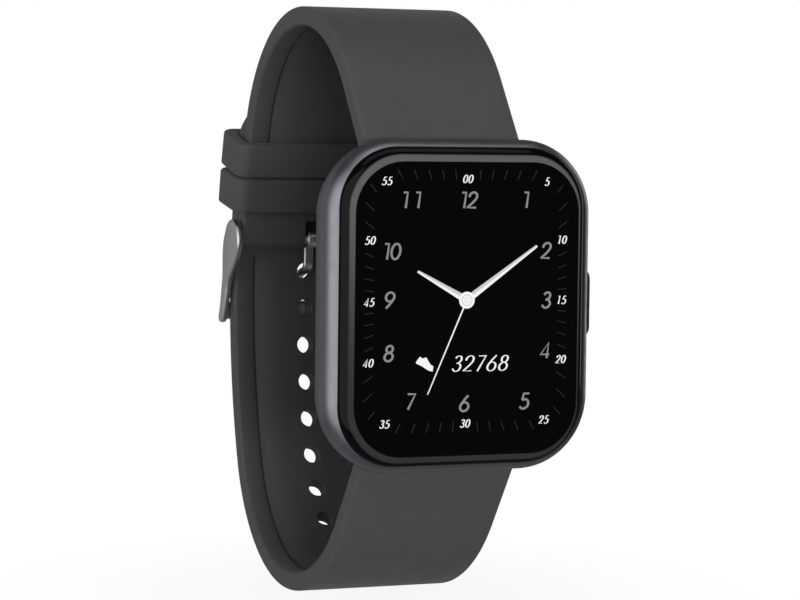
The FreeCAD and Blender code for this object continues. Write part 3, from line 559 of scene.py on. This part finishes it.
def cutter_box(name, centre, angle, x_range, reach, across):
    """Box that reaches from an axis along X, at this angle of the side view."""
    out, up = tilted_axes(angle)
    rings = []
    for x in x_range:
        corners = ((0, -across / 2), (reach, -across / 2), (reach, across / 2), (0, across / 2))
        base = place(x, *centre)
        rings.append([base + out * a * MM + up * b * MM for a, b in corners])
    return loft(name, rings)


def bar_cutters(side):
    centre = (BAR[0], side * BAR[1])
    bore = along_x("bore", centre, BAR_BORE, BAND["half"] + 1.0)
    slot = cutter_box("lever_slot", centre, side * LEVER_TILT, LEVER_SLOT, reach=2.6, across=1.0)
    return bore, slot


def finish_strap(name, blank, barrel, cutters):
    mesh = carve(blank, barrel, "UNION")
    for cutter in cutters:
        mesh = carve(mesh, cutter)
    mesh.name = name
    return sharpen(mesh)


def make_upper_strap():
    line = StrapLine(1, crest=39.2, crest_depth=33.45, back_radius=OUTER_BACK - LAYER)
    middle = BAND["thick"] / 2
    end = math.degrees(math.asin((PIN[1] - BACK[1]) / (line.back_radius - middle)))
    line.add_back(end)
    stations = line.stations(STEP)
    last = stations[-1]
    rings = []
    for station in stations:
        gone = station[2]
        shown = ease((gone - ROOT_FULL) / SINK) * ease((last[2] - gone - BUCKLE_FULL) / BUCKLE_SINK)
        ring = band_ring(BAND["half"], 0.0, BAND["thick"], BAND["deep"] * shown)
        rings.append([at_station(station, x, inset) for x, inset in ring])
    down = math.degrees(middle / line.back_radius)
    side_round = 0.5
    for share in (0.25, 0.5, 0.7, 0.86, 0.95, 0.99):
        angle = end - down * share
        point = on_arc(BACK, line.back_radius, math.radians(angle))
        half = middle * math.sqrt(1 - share * share)
        ring = band_ring(BAND["half"] - side_round * share ** 4, middle - half, middle + half, 0.0)
        rings.append([at_station((point, angle, last[2]), x, inset) for x, inset in ring])
    blank = loft("upper_blank", rings)
    barrel = along_x("upper_barrel", BAR, BARREL, BAND["half"], soft=0.4)
    slot = cutter_box("tang_slot", (PIN[0] - 4.0, PIN[1] - 0.6), 0, x_range=(-1.25, 1.25),
                      reach=8.0, across=6.6)
    pin = along_x("pin_bore", PIN, PIN_BORE, BAND["half"] + 1.0)
    mesh = finish_strap("upper_strap", blank, barrel, [*bar_cutters(1), pin, slot])
    piece("upper_strap", mesh, "watch", ["silicone"], ["upper_band"])
    return line


def hole_places(line):
    """Middle and angle of each hole, from the used one down round the bend."""
    middle = BAND["thick"] / 2
    below_used, round_bend = 5, 2
    radius = line.back_radius - middle
    used = math.asin((USED_HOLE - BACK[1]) / radius)
    step = HOLE_PITCH / radius
    turn = math.radians(line.turn)
    places = [(BACK, radius, used - k * step) for k in range(below_used + 1)]
    rear = (line.rear[0], -line.rear[1])
    bend_radius = line.rear_radius - middle
    extra = (below_used * step - used - turn) * radius / bend_radius
    for k in range(1, round_bend + 1):
        places.append((rear, bend_radius, -turn - extra - k * HOLE_PITCH / bend_radius))
    return [(on_arc(centre, reach, angle), math.degrees(angle)) for centre, reach, angle in places]


def make_lower_strap(upper):
    line = StrapLine(-1, crest=41.54, crest_depth=36.75, back_radius=OUTER_BACK)
    line.add_back(upper.turn)
    tail_end = 27.0
    line.pieces.append((upper.rear, upper.rear_radius + LAYER, upper.turn, tail_end))
    coarse = line.stations(STEP)
    total = coarse[-1][2]
    tip_corner = 7.5
    fine = [s for s in line.stations(STEP / 5) if total - s[2] < tip_corner]
    stations = [s for s in coarse if total - s[2] >= tip_corner + STEP / 2] + fine
    rings = []
    for station in stations:
        left = total - station[2]
        half = BAND["half"]
        if left < tip_corner:
            half -= tip_corner - math.sqrt(max(0.0, tip_corner ** 2 - (tip_corner - left) ** 2))
        pinch = 0.0
        if left < BAND["edge"]:
            pinch = BAND["edge"] - math.sqrt(BAND["edge"] ** 2 - (BAND["edge"] - left) ** 2)
        shown = ease((station[2] - ROOT_FULL) / SINK) * ease((left - TAIL_FULL) / SINK)
        ring = band_ring(half, pinch, BAND["thick"] - pinch, BAND["deep"] * shown)
        rings.append([at_station(station, x, inset) for x, inset in ring])
    blank = loft("lower_blank", rings)
    barrel = along_x("lower_barrel", (BAR[0], -BAR[1]), BARREL, BAND["half"], soft=0.4)
    holes = [hole_cutter("hole", spot, angle, HOLE_RADIUS) for spot, angle in hole_places(line)]
    cutters = [*bar_cutters(-1), join_meshes("holes", holes)]
    mesh = finish_strap("lower_strap", blank, barrel, cutters)
    piece("lower_strap", mesh, "watch", ["silicone"], ["lower_band"])


def make_loop(name, angle, body, replaced):
    """Keeper: a soft band of rounded section round both straps."""
    wall = 1.6
    gap = 0.45
    half_high = 2.5
    soft = 0.42
    outer_corner = 2.0
    layers = BAND["thick"] + LAYER
    inner = OUTER_BACK - layers - gap - wall
    half_x = ARM[0] + wall
    half_y = layers / 2 + gap + wall
    out, up = tilted_axes(angle)
    centre = place(0, *BACK) + out * (inner + half_y) * MM
    section = [(-d, h) for d, h in rounded_loop(wall / 2, half_high, soft, 5)]
    rings = []
    for d, h in section:
        inset = wall / 2 + d
        corner = max(0.5, outer_corner - inset)
        loop = rounded_loop(half_x - inset, half_y - inset, corner, 8)
        rings.append([centre + Vector((x * MM, 0, 0)) + out * y * MM + up * h * MM for x, y in loop])
    mesh = loft(name, rings, closed=True)
    piece(name, sharpen(mesh, 50), body, ["silicone"], [replaced])


# ---------------------------------------------------------------- buckle
def arm_section(share):
    """Half height of an arm, from its eye (0) to the cross bar (1), and how far it bows."""
    narrow = ease((share - 0.08) / 0.5)
    bulge = math.sin(math.pi * share)
    half = EYE_RADIUS + (TAIL_RADIUS - EYE_RADIUS) * narrow + 0.3 * bulge ** 2
    bow = 0.45 * bulge * (1 - share) - 0.7 * ease((share - 0.3) / 0.7)
    return half, bow


def make_arm(side):
    """Polished arm: broad round the pin, drawn in to the end of the cross bar."""
    bar = bar_place()
    run = Vector((bar[0] - PIN[0], bar[1] - PIN[1]))
    span = run.length
    ahead = run.normalized()
    across = Vector((-ahead.y, ahead.x))
    middle = (ARM[0] + ARM[1]) / 2 * side
    thick = (ARM[1] - ARM[0]) / 2
    length = EYE_RADIUS + span + TAIL_RADIUS
    steps = 40
    least, thin_below, softness = 0.02, 0.6, 0.8
    rings = []
    for k in range(steps + 1):
        along = -EYE_RADIUS + length * (1 - math.cos(math.pi * k / steps)) / 2
        share = max(0.0, min(1.0, along / span))
        half, bow = arm_section(share)
        if along < 0:
            half = math.sqrt(max(0.0, EYE_RADIUS ** 2 - along ** 2))
        elif along > span:
            half = math.sqrt(max(0.0, TAIL_RADIUS ** 2 - (along - span) ** 2))
        half = max(half, least)
        depth = thick * min(1.0, (half / thin_below) ** 0.5)
        ring = []
        for x, n in rounded_loop(depth, half, min(depth, half) * softness, 6):
            spot = Vector(PIN) + ahead * along + across * (n + bow)
            ring.append(place(middle + x, spot.x, spot.y))
        rings.append(ring)
    return loft("arm", rings)


def bar_place():
    """Axis of the cross bar, resting off the tail."""
    clear = 0.25
    angle = -2.75
    return on_arc(BACK, OUTER_BACK + clear + BAR_SECTION / 2, math.radians(angle))


def make_buckle():
    """Two arms joined by a cross bar in the shape of a flat plate."""
    depth, z = bar_place()
    half_deep, half_high, corner, lift = 0.62, 1.3, 0.5, 0.55
    eased_ends = ((-11.8, 0.1), (-11.7, 0.0), (11.7, 0.0), (11.8, 0.1))
    eye_bore, pin_reach = 0.84, 11.9
    rings = []
    for x, inset in eased_ends:
        section = rounded_loop(half_deep - inset, half_high - inset, corner, 6)
        rings.append([place(x, depth + d, z + lift + n) for d, n in section])
    mesh = loft("cross_bar", rings)
    for side in (-1, 1):
        mesh = carve(mesh, make_arm(side), "UNION")
    mesh = carve(mesh, along_x("eyes", PIN, eye_bore, pin_reach))
    piece("buckle_bow", sharpen(mesh, 50), "buckle", ["buckle_steel"], ["buckle_frame"])


def make_tang():
    """Bent blade: curl round the pin, through its hole and on to the cross bar."""
    half, wide, edge = 0.35, 0.7, 0.18
    bend, bend_steps = 0.9, 6
    curl_radius, soft = 1.3, 0.15
    route = [(58.6, 5.6), (58.6, 2.05), (62.9, 0.85), (64.6, -3.4), (64.6, -6.1)]
    path = [route[0]]
    for before, here, after in zip(route, route[1:], route[2:]):
        ends = []
        for other in (before, after):
            share = bend / math.dist(here, other)
            ends.append([h + (o - h) * share for h, o in zip(here, other)])
        for k in range(bend_steps + 1):
            t = k / bend_steps
            path.append([a * (1 - t) ** 2 + 2 * h * t * (1 - t) + b * t * t
                         for a, h, b in zip(ends[0], here, ends[1])])
    path.append(route[-1])
    rings = []
    for index, point in enumerate(path):
        before = path[max(0, index - 1)]
        after = path[min(len(path) - 1, index + 1)]
        run = Vector((after[0] - before[0], after[1] - before[1])).normalized()
        side = Vector((-run.y, run.x))
        ring = []
        for x, n in rounded_loop(wide, half, edge, 4):
            ring.append(place(x, point[0] + side.x * n, point[1] + side.y * n))
        rings.append(ring)
    blade = loft("blade", rings)
    tip = along_x("tip", route[-1], half, wide, steps=20, soft=soft)
    curl = along_x("curl", PIN, curl_radius, wide, soft=soft)
    mesh = carve(carve(blade, curl, "UNION"), tip, "UNION")
    mesh = carve(mesh, along_x("eye", PIN, PIN_BORE, 2.0))
    piece("tang_blade", sharpen(mesh), "tang", ["buckle_steel"], ["buckle_tang"])


# ---------------------------------------------------------------- cover glass
GLASS = {"half_x": 16.9, "half_z": 20.35, "corner": 8.0, "thick": 1.59}


def lens_ring(inset, depth):
    corner = max(1.0, GLASS["corner"] - inset)
    loop = rounded_loop(GLASS["half_x"] - inset, GLASS["half_z"] - inset, corner, 16)
    return [place(x, depth, z) for x, z in loop]


def make_lens():
    """Cover glass, rolled over at its edge and flat inside it."""
    run = 2.4
    drop = 0.95
    steps = 18
    profile = [(0.0, GLASS["thick"]), (0.0, drop)]
    for k in range(1, steps + 1):
        angle = math.pi / 2 * k / steps
        profile.append((run * (1 - math.cos(angle)), drop * (1 - math.sin(angle))))
    rim = [lens_ring(inset, depth) for inset, depth in profile]
    below = [lens_ring(run, GLASS["thick"])]
    mesh = bpy.data.meshes.new("cover_lens")
    form = bmesh.new()
    rows = [[form.verts.new(p) for p in ring] for ring in below + rim]
    count = len(rows[0])
    for row, after in zip(rows, rows[1:]):
        for i in range(count):
            j = (i + 1) % count
            form.faces.new((row[i], row[j], after[j], after[i]))
    flats = [form.faces.new(row) for row in (rows[0], rows[-1])]
    bmesh.ops.recalc_face_normals(form, faces=form.faces)
    form.faces.index_update()
    flats = [face.index for face in flats]
    form.to_mesh(mesh)
    form.free()
    sharpen(mesh, 60)
    for index in flats:
        mesh.polygons[index].use_smooth = False
    piece("cover_lens", mesh, "watch", ["cover_glass"], ["cover_glass"])


# ---------------------------------------------------------------- dial
DIAL = (0.20, 0.74)  # x and height of its centre
DIAL_DEPTH = -0.004


def circle_stroke(x, z, rx, rz):
    steps = 24
    points = []
    for k in range(steps + 1):
        angle = 2 * math.pi * k / steps
        points.append((x + rx * math.sin(angle), z + rz * math.cos(angle)))
    return points


def bent(*points):
    """Smooth run through a few points."""
    steps = 6
    ends = [points[0], *points, points[-1]]
    found = []
    for a, b, c, d in zip(ends, ends[1:], ends[2:], ends[3:]):
        for k in range(steps):
            t = k / steps
            found.append(tuple(
                0.5 * (2 * q + (r - p) * t + (2 * p - 5 * q + 4 * r - s) * t * t
                       + (3 * q - p - 3 * r + s) * t ** 3)
                for p, q, r, s in zip(a, b, c, d)))
    found.append(points[-1])
    return found


# Numerals as strokes in a cell one unit high, centred on x = 0.
SIX_BOWL = circle_stroke(0.0, 0.29, 0.27, 0.27)
SIX_STEM = bent((0.17, 0.97), (-0.02, 0.74), (-0.19, 0.5), (-0.27, 0.3))
DIGITS = {
    "0": [circle_stroke(0.0, 0.5, 0.28, 0.46)],
    "1": [[(-0.2, 0.95), (0.06, 0.95), (0.06, 0.02)]],
    "2": [bent((-0.25, 0.68), (-0.19, 0.87), (0.02, 0.97), (0.22, 0.86), (0.23, 0.64),
               (0.05, 0.38), (-0.29, 0.05)) + [(0.28, 0.05)]],
    "3": [bent((-0.19, 0.83), (-0.06, 0.96), (0.14, 0.94), (0.22, 0.76), (0.11, 0.58), (-0.06, 0.53)),
          bent((-0.06, 0.53), (0.15, 0.5), (0.27, 0.3), (0.17, 0.09), (-0.05, 0.04), (-0.25, 0.2))],
    "4": [[(0.14, 0.02), (0.14, 0.97), (-0.3, 0.25), (0.27, 0.25)]],
    "5": [[(0.25, 0.95), (-0.1, 0.95), (-0.16, 0.55)],
          bent((-0.16, 0.55), (0.06, 0.6), (0.25, 0.46), (0.25, 0.2), (0.05, 0.04), (-0.14, 0.05),
               (-0.27, 0.17))],
    "6": [SIX_STEM, SIX_BOWL],
    "7": [[(-0.24, 0.95), (0.25, 0.95), (-0.1, 0.02)]],
    "8": [circle_stroke(0.0, 0.745, 0.205, 0.205), circle_stroke(0.0, 0.28, 0.26, 0.25)],
    "9": [[(-x, 1.0 - z) for x, z in stroke] for stroke in (SIX_STEM, SIX_BOWL)],
}


class Strokes:
    """Numerals and lines of one colour, gathered in one curve that becomes a flat mesh."""

    def __init__(self, name, material):
        self.name = name
        self.material = material
        self.curve = bpy.data.curves.new(name, "CURVE")
        self.curve.dimensions = "3D"
        self.curve.bevel_depth = 1.0
        self.curve.bevel_resolution = 2
        self.curve.use_fill_caps = True

    def line(self, points, radii):
        spline = self.curve.splines.new("POLY")
        spline.points.add(len(points) - 1)
        for target, (x, z), radius in zip(spline.points, points, radii):
            target.co = (x, 0.0, z, 1.0)
            target.radius = radius

    def digit(self, sign, x, z, high, lean, wide, thin, thick):
        """One numeral centred on x and z; strokes are thick upright and thin across."""
        for stroke in DIGITS[sign]:
            points = [(x + (a * wide + (b - 0.5) * lean) * high, z + (b - 0.5) * high) for a, b in stroke]
            radii = []
            for index in range(len(points)):
                (ax, az), (bx, bz) = points[max(0, index - 1)], points[min(len(points) - 1, index + 1)]
                upright = abs(bz - az) / max(1e-9, math.hypot(bx - ax, bz - az))
                radii.append(thin + (thick - thin) * upright ** 1.5)
            self.line(points, radii)

    def finish(self, depth=DIAL_DEPTH):
        holder = bpy.data.objects.new(self.name + "_curve", self.curve)
        bpy.context.scene.collection.objects.link(holder)
        graph = bpy.context.evaluated_depsgraph_get()
        mesh = bpy.data.meshes.new_from_object(holder.evaluated_get(graph))
        bpy.data.objects.remove(holder)
        flat = 0.05
        for vertex in mesh.vertices:
            x, y, z = vertex.co
            vertex.co = place(DIAL[0] + x, depth + y * flat, DIAL[1] + z)
        mesh.materials.clear()
        mesh.shade_smooth()
        piece(self.name, mesh, "watch", [self.material])


# Hours: (shift of each digit, x, z) from the dial's centre. Minutes: (x, z).
HOURS = {
    "12": ((-0.62, 0.55), 0.1, 12.9), "1": ((0.0,), 8.2, 12.95), "2": ((0.0,), 11.1, 6.4),
    "3": ((0.0,), 11.2, 0.0), "4": ((0.0,), 11.2, -6.5), "5": ((0.0,), 8.3, -13.0),
    "6": ((0.0,), -0.1, -13.1), "7": ((0.0,), -7.6, -12.7), "8": ((0.0,), -10.6, -6.5),
    "9": ((0.0,), -10.6, 0.2), "10": ((-0.72, 0.47), -10.3, 6.4), "11": ((-0.86, 0.86), -7.7, 12.9),
}
MINUTES = {
    "00": (0.0, 15.6), "5": (11.1, 15.3), "10": (13.3, 7.8), "15": (13.35, 0.0), "20": (13.4, -7.7),
    "25": (11.1, -15.5), "30": (0.0, -15.7), "35": (-11.1, -15.5), "40": (-13.4, -7.7),
    "45": (-13.35, 0.0), "50": (-13.3, 7.8), "55": (-11.1, 15.3),
}
# Minutes whose ticks give way to a numeral on the square track.
NUMBERED_TICKS = (0, 6, 10, 15, 20, 24, 30, 36, 40, 45, 50, 54)
HOUR_STYLE = {"high": 2.12, "lean": 0.14, "wide": 1.0, "thin": 0.135, "thick": 0.155}
MINUTE_STYLE = {"high": 1.08, "lean": 0.22, "wide": 0.82, "thin": 0.035, "thick": 0.098}
STEPS_STYLE = {"high": 2.1, "lean": 0.26, "wide": 0.98, "thin": 0.05, "thick": 0.135}
MINUTE_PITCH = 0.74
STEPS_PITCH = 1.63
STEPS_PLACE = (2.05, -8.0)


def make_numerals():
    hours = Strokes("hour_numerals", "hour_light")
    for text, (offsets, x, z) in HOURS.items():
        for sign, offset in zip(text, offsets):
            hours.digit(sign, x + offset, z, **HOUR_STYLE)
    hours.finish()
    minutes = Strokes("minute_numerals", "minute_light")
    for text, (x, z) in MINUTES.items():
        for index, sign in enumerate(text):
            offset = (index - (len(text) - 1) / 2) * MINUTE_PITCH
            minutes.digit(sign, x + offset, z, **MINUTE_STYLE)
    minutes.finish()
    steps = Strokes("step_count", "minute_light")
    count = "32768"
    x, z = STEPS_PLACE
    for index, sign in enumerate(count):
        steps.digit(sign, x + (index - len(count) // 2) * STEPS_PITCH, z, **STEPS_STYLE)
    steps.finish()


def on_track(angle, half_x, half_z, corner):
    """Where a line from the dial's centre meets a rounded rectangle."""
    dx, dz = math.sin(angle), math.cos(angle)
    low, high = 0.0, half_x + half_z
    for _ in range(40):
        middle = (low + high) / 2
        qx = abs(dx * middle) - (half_x - corner)
        qz = abs(dz * middle) - (half_z - corner)
        far = math.hypot(max(qx, 0), max(qz, 0)) + min(max(qx, qz), 0) - corner
        low, high = (middle, high) if far < 0 else (low, middle)
    return dx * low, dz * low


def make_ticks():
    ticks = Strokes("minute_ticks", "tick_light")
    half_width = 0.055
    for minute in range(60):
        if minute in NUMBERED_TICKS:
            continue
        angle = math.radians(6 * minute)
        ends = [on_track(angle, 12.8, 15.5, 3.0), on_track(angle, 14.0, 16.75, 4.0)]
        ticks.line(ends, (half_width, half_width))
    ticks.finish()


def fan(form, points, depth, material):
    """Thin solid with a flat outline at the dial."""
    thick = 0.02
    rows = []
    for shift in (0.0, thick):
        rows.append([form.verts.new(place(DIAL[0] + x, depth + shift, DIAL[1] + z)) for x, z in points])
    faces = [form.faces.new(rows[0]), form.faces.new(rows[1][::-1])]
    for i in range(len(points)):
        j = (i + 1) % len(points)
        faces.append(form.faces.new((rows[0][i], rows[1][i], rows[1][j], rows[0][j])))
    for face in faces:
        face.material_index = material


def flat_piece(name, outlines, materials):
    """Piece made of flat outlines: (points, depth, index of material)."""
    mesh = bpy.data.meshes.new(name)
    form = bmesh.new()
    for points, depth, material in outlines:
        fan(form, points, depth, material)
    bmesh.ops.recalc_face_normals(form, faces=form.faces)
    form.to_mesh(mesh)
    form.free()
    piece(name, mesh, "watch", materials)


HUB = (0.0, 0.13)  # from the dial's centre


def hand_halves(tip, root_half, tip_half, depth):
    """The two long halves of a tapered hand with a round tip."""
    run = Vector((tip[0] - HUB[0], tip[1] - HUB[1]))
    length = run.length
    ahead = run.normalized()
    across = Vector((-ahead.y, ahead.x))
    if across.y < 0:
        across = -across
    halves = []
    for sign, material in ((1, 1), (-1, 0)):
        shape = [(0.0, 0.0), (0.0, root_half)]
        shape += arc_points((length - tip_half, 0.0), tip_half, 85, 0, 6)
        points = []
        for along, side in shape:
            spot = Vector(HUB) + ahead * along + across * side * sign
            points.append((spot.x, spot.y))
        halves.append((points, depth, material))
    return halves


def make_hands():
    root_half, tip_half = 0.47, 0.17
    hour_tip, minute_tip, second_tip = (-6.83, 3.88), (9.78, 7.05), (-5.28, -11.86)
    outlines = hand_halves(hour_tip, root_half, tip_half, -0.02)
    outlines += hand_halves(minute_tip, root_half, tip_half, -0.03)
    second = Strokes("second_hand", "hand_bright")
    second.line([HUB, second_tip], (0.10, 0.075))
    second.finish(-0.045)
    flat_piece("hour_and_minute_hands", outlines, ["hand_bright", "hand_soft"])
    rings = ((1.08, 0, -0.06), (0.74, 1, -0.07), (0.62, 0, -0.08), (0.36, 1, -0.09), (0.27, 0, -0.10))
    hub = [(arc_points(HUB, radius, 0, 352, 44), depth, material) for radius, material, depth in rings]
    flat_piece("hand_hub", hub, ["hand_bright", "hand_soft"])


def make_icon():
    shoe = [(-6.36, -6.98), (-6.93, -7.69), (-6.87, -7.87), (-6.04, -8.25), (-5.42, -8.66), (-5.0, -8.86),
            (-4.6, -8.93), (-4.52, -8.27), (-4.9, -8.04), (-5.22, -7.56), (-5.42, -7.19), (-5.6, -7.12),
            (-6.0, -7.24)]
    flat_piece("step_icon", [(shoe, -0.01, 0)], ["minute_light"])


# ---------------------------------------------------------------- studio
def area_light(name, azimuth, elevation, distance, size, power, glossy=True, diffuse=True):
    """Soft box at a bearing seen from the watch: 0 is +X, -90 is in front of the screen."""
    turn, rise = math.radians(azimuth), math.radians(elevation)
    out = Vector((math.cos(turn) * math.cos(rise), math.sin(turn) * math.cos(rise), math.sin(rise)))
    data = bpy.data.lights.new(name, "AREA")
    data.shape = "RECTANGLE"
    data.size, data.size_y = size
    data.energy = power
    light = bpy.data.objects.new(name, data)
    bpy.context.scene.collection.objects.link(light)
    light.location = out * distance
    light.rotation_mode = "QUATERNION"
    light.rotation_quaternion = (-out).to_track_quat("-Z", "Y")
    light.visible_glossy = glossy
    light.visible_diffuse = diffuse


def make_world():
    """White to the eye; what lights the watch is dim in front, brighter behind and below."""
    world = bpy.data.worlds.new("studio")
    world.use_nodes = True
    bpy.context.scene.world = world
    nodes, links = world.node_tree.nodes, world.node_tree.links
    nodes.clear()
    where = nodes.new("ShaderNodeTexCoord")
    axes = nodes.new("ShaderNodeSeparateXYZ")
    links.new(where.outputs["Generated"], axes.inputs[0])
    # Each axis: direction from and to, strength at each.
    shades = []
    for axis, settings in (("Y", (-0.5, 0.9, 0.02, 0.12)), ("Z", (-0.75, -0.2, 0.13, 0.0))):
        ramp = nodes.new("ShaderNodeMapRange")
        ramp.interpolation_type = "SMOOTHSTEP"
        links.new(axes.outputs[axis], ramp.inputs[0])
        for index, value in enumerate(settings, 1):
            ramp.inputs[index].default_value = value
        shades.append(ramp.outputs[0])
    total = nodes.new("ShaderNodeMath")
    for shade, socket in zip(shades, total.inputs):
        links.new(shade, socket)
    rays = nodes.new("ShaderNodeLightPath")
    choose = nodes.new("ShaderNodeMix")
    links.new(rays.outputs["Is Camera Ray"], choose.inputs[0])
    links.new(total.outputs[0], choose.inputs[2])
    choose.inputs[3].default_value = 1.0
    glow = nodes.new("ShaderNodeBackground")
    glow.inputs["Color"].default_value = (1.0, 1.0, 1.0, 1.0)
    links.new(choose.outputs[0], glow.inputs["Strength"])
    out = nodes.new("ShaderNodeOutputWorld")
    links.new(glow.outputs[0], out.inputs[0])


def make_floor():
    """Pale floor that the eye sees brighten to the white of the background."""
    gap = 0.0004
    level = CAD_BOX[0].z - gap
    mesh = bpy.data.meshes.new("floor")
    form = bmesh.new()
    reach = 25.0
    form.faces.new([form.verts.new((x, y, level)) for x, y in
                    ((-reach, -reach), (reach, -reach), (reach, reach), (-reach, reach))])
    form.to_mesh(mesh)
    form.free()
    floor = bpy.data.objects.new("floor", mesh)
    bpy.context.scene.collection.objects.link(floor)
    floor.visible_glossy = False
    tree = Tree("floor")
    tree.set(Base_Color=(0.8, 0.8, 0.8, 1.0), Roughness=0.9, Specular_IOR_Level=0.1)
    length = tree.nodes.new("ShaderNodeVectorMath")
    length.operation = "LENGTH"
    tree.links.new(tree.where, length.inputs[0])
    dim_until, white_from = -0.12, 0.08
    fade = tree.span(length.outputs["Value"], dim_until, white_from)
    rays = tree.nodes.new("ShaderNodeLightPath")
    seen = tree.math("MULTIPLY", fade, rays.outputs["Is Camera Ray"])
    glow = tree.nodes.new("ShaderNodeEmission")
    mixer = tree.nodes.new("ShaderNodeMixShader")
    tree.links.new(seen, mixer.inputs[0])
    tree.links.new(tree.shader.outputs[0], mixer.inputs[1])
    tree.links.new(glow.outputs[0], mixer.inputs[2])
    tree.links.new(mixer.outputs[0], tree.nodes["Material Output"].inputs[0])
    mesh.materials.append(tree.material)


def make_studio():
    make_world()
    make_floor()
    area_light("key_box", azimuth=-134, elevation=4, distance=0.9,
               size=(1.3, 1.1), power=5.8)
    area_light("front_fill", azimuth=-94, elevation=2, distance=1.0,
               size=(0.55, 0.14), power=11.0, glossy=False)
    area_light("left_rim", azimuth=178, elevation=5, distance=0.9,
               size=(0.5, 0.9), power=6.0, glossy=False)
    area_light("left_card", azimuth=175, elevation=5, distance=0.9,
               size=(0.6, 0.9), power=0.4, diffuse=False)
    area_light("rear_card", azimuth=128, elevation=5, distance=0.9,
               size=(0.7, 0.9), power=0.32, diffuse=False)
    area_light("top_box", azimuth=-85, elevation=62, distance=0.8,
               size=(0.7, 0.5), power=1.1, diffuse=False)
    area_light("right_box", azimuth=20, elevation=12, distance=0.9,
               size=(0.3, 0.6), power=0.8)
    bpy.context.scene.view_settings.view_transform = "Standard"


make_camera()
make_materials()
upper_line = make_upper_strap()
make_lower_strap(upper_line)
make_loop("strap_loop_fixed", angle=10.85, body="watch", replaced="fixed_keeper")
make_loop("strap_loop_free", angle=14.9, body="keeper", replaced="free_keeper")
make_buckle()
make_tang()
make_lens()
make_numerals()
make_ticks()
make_hands()
make_icon()
make_studio()
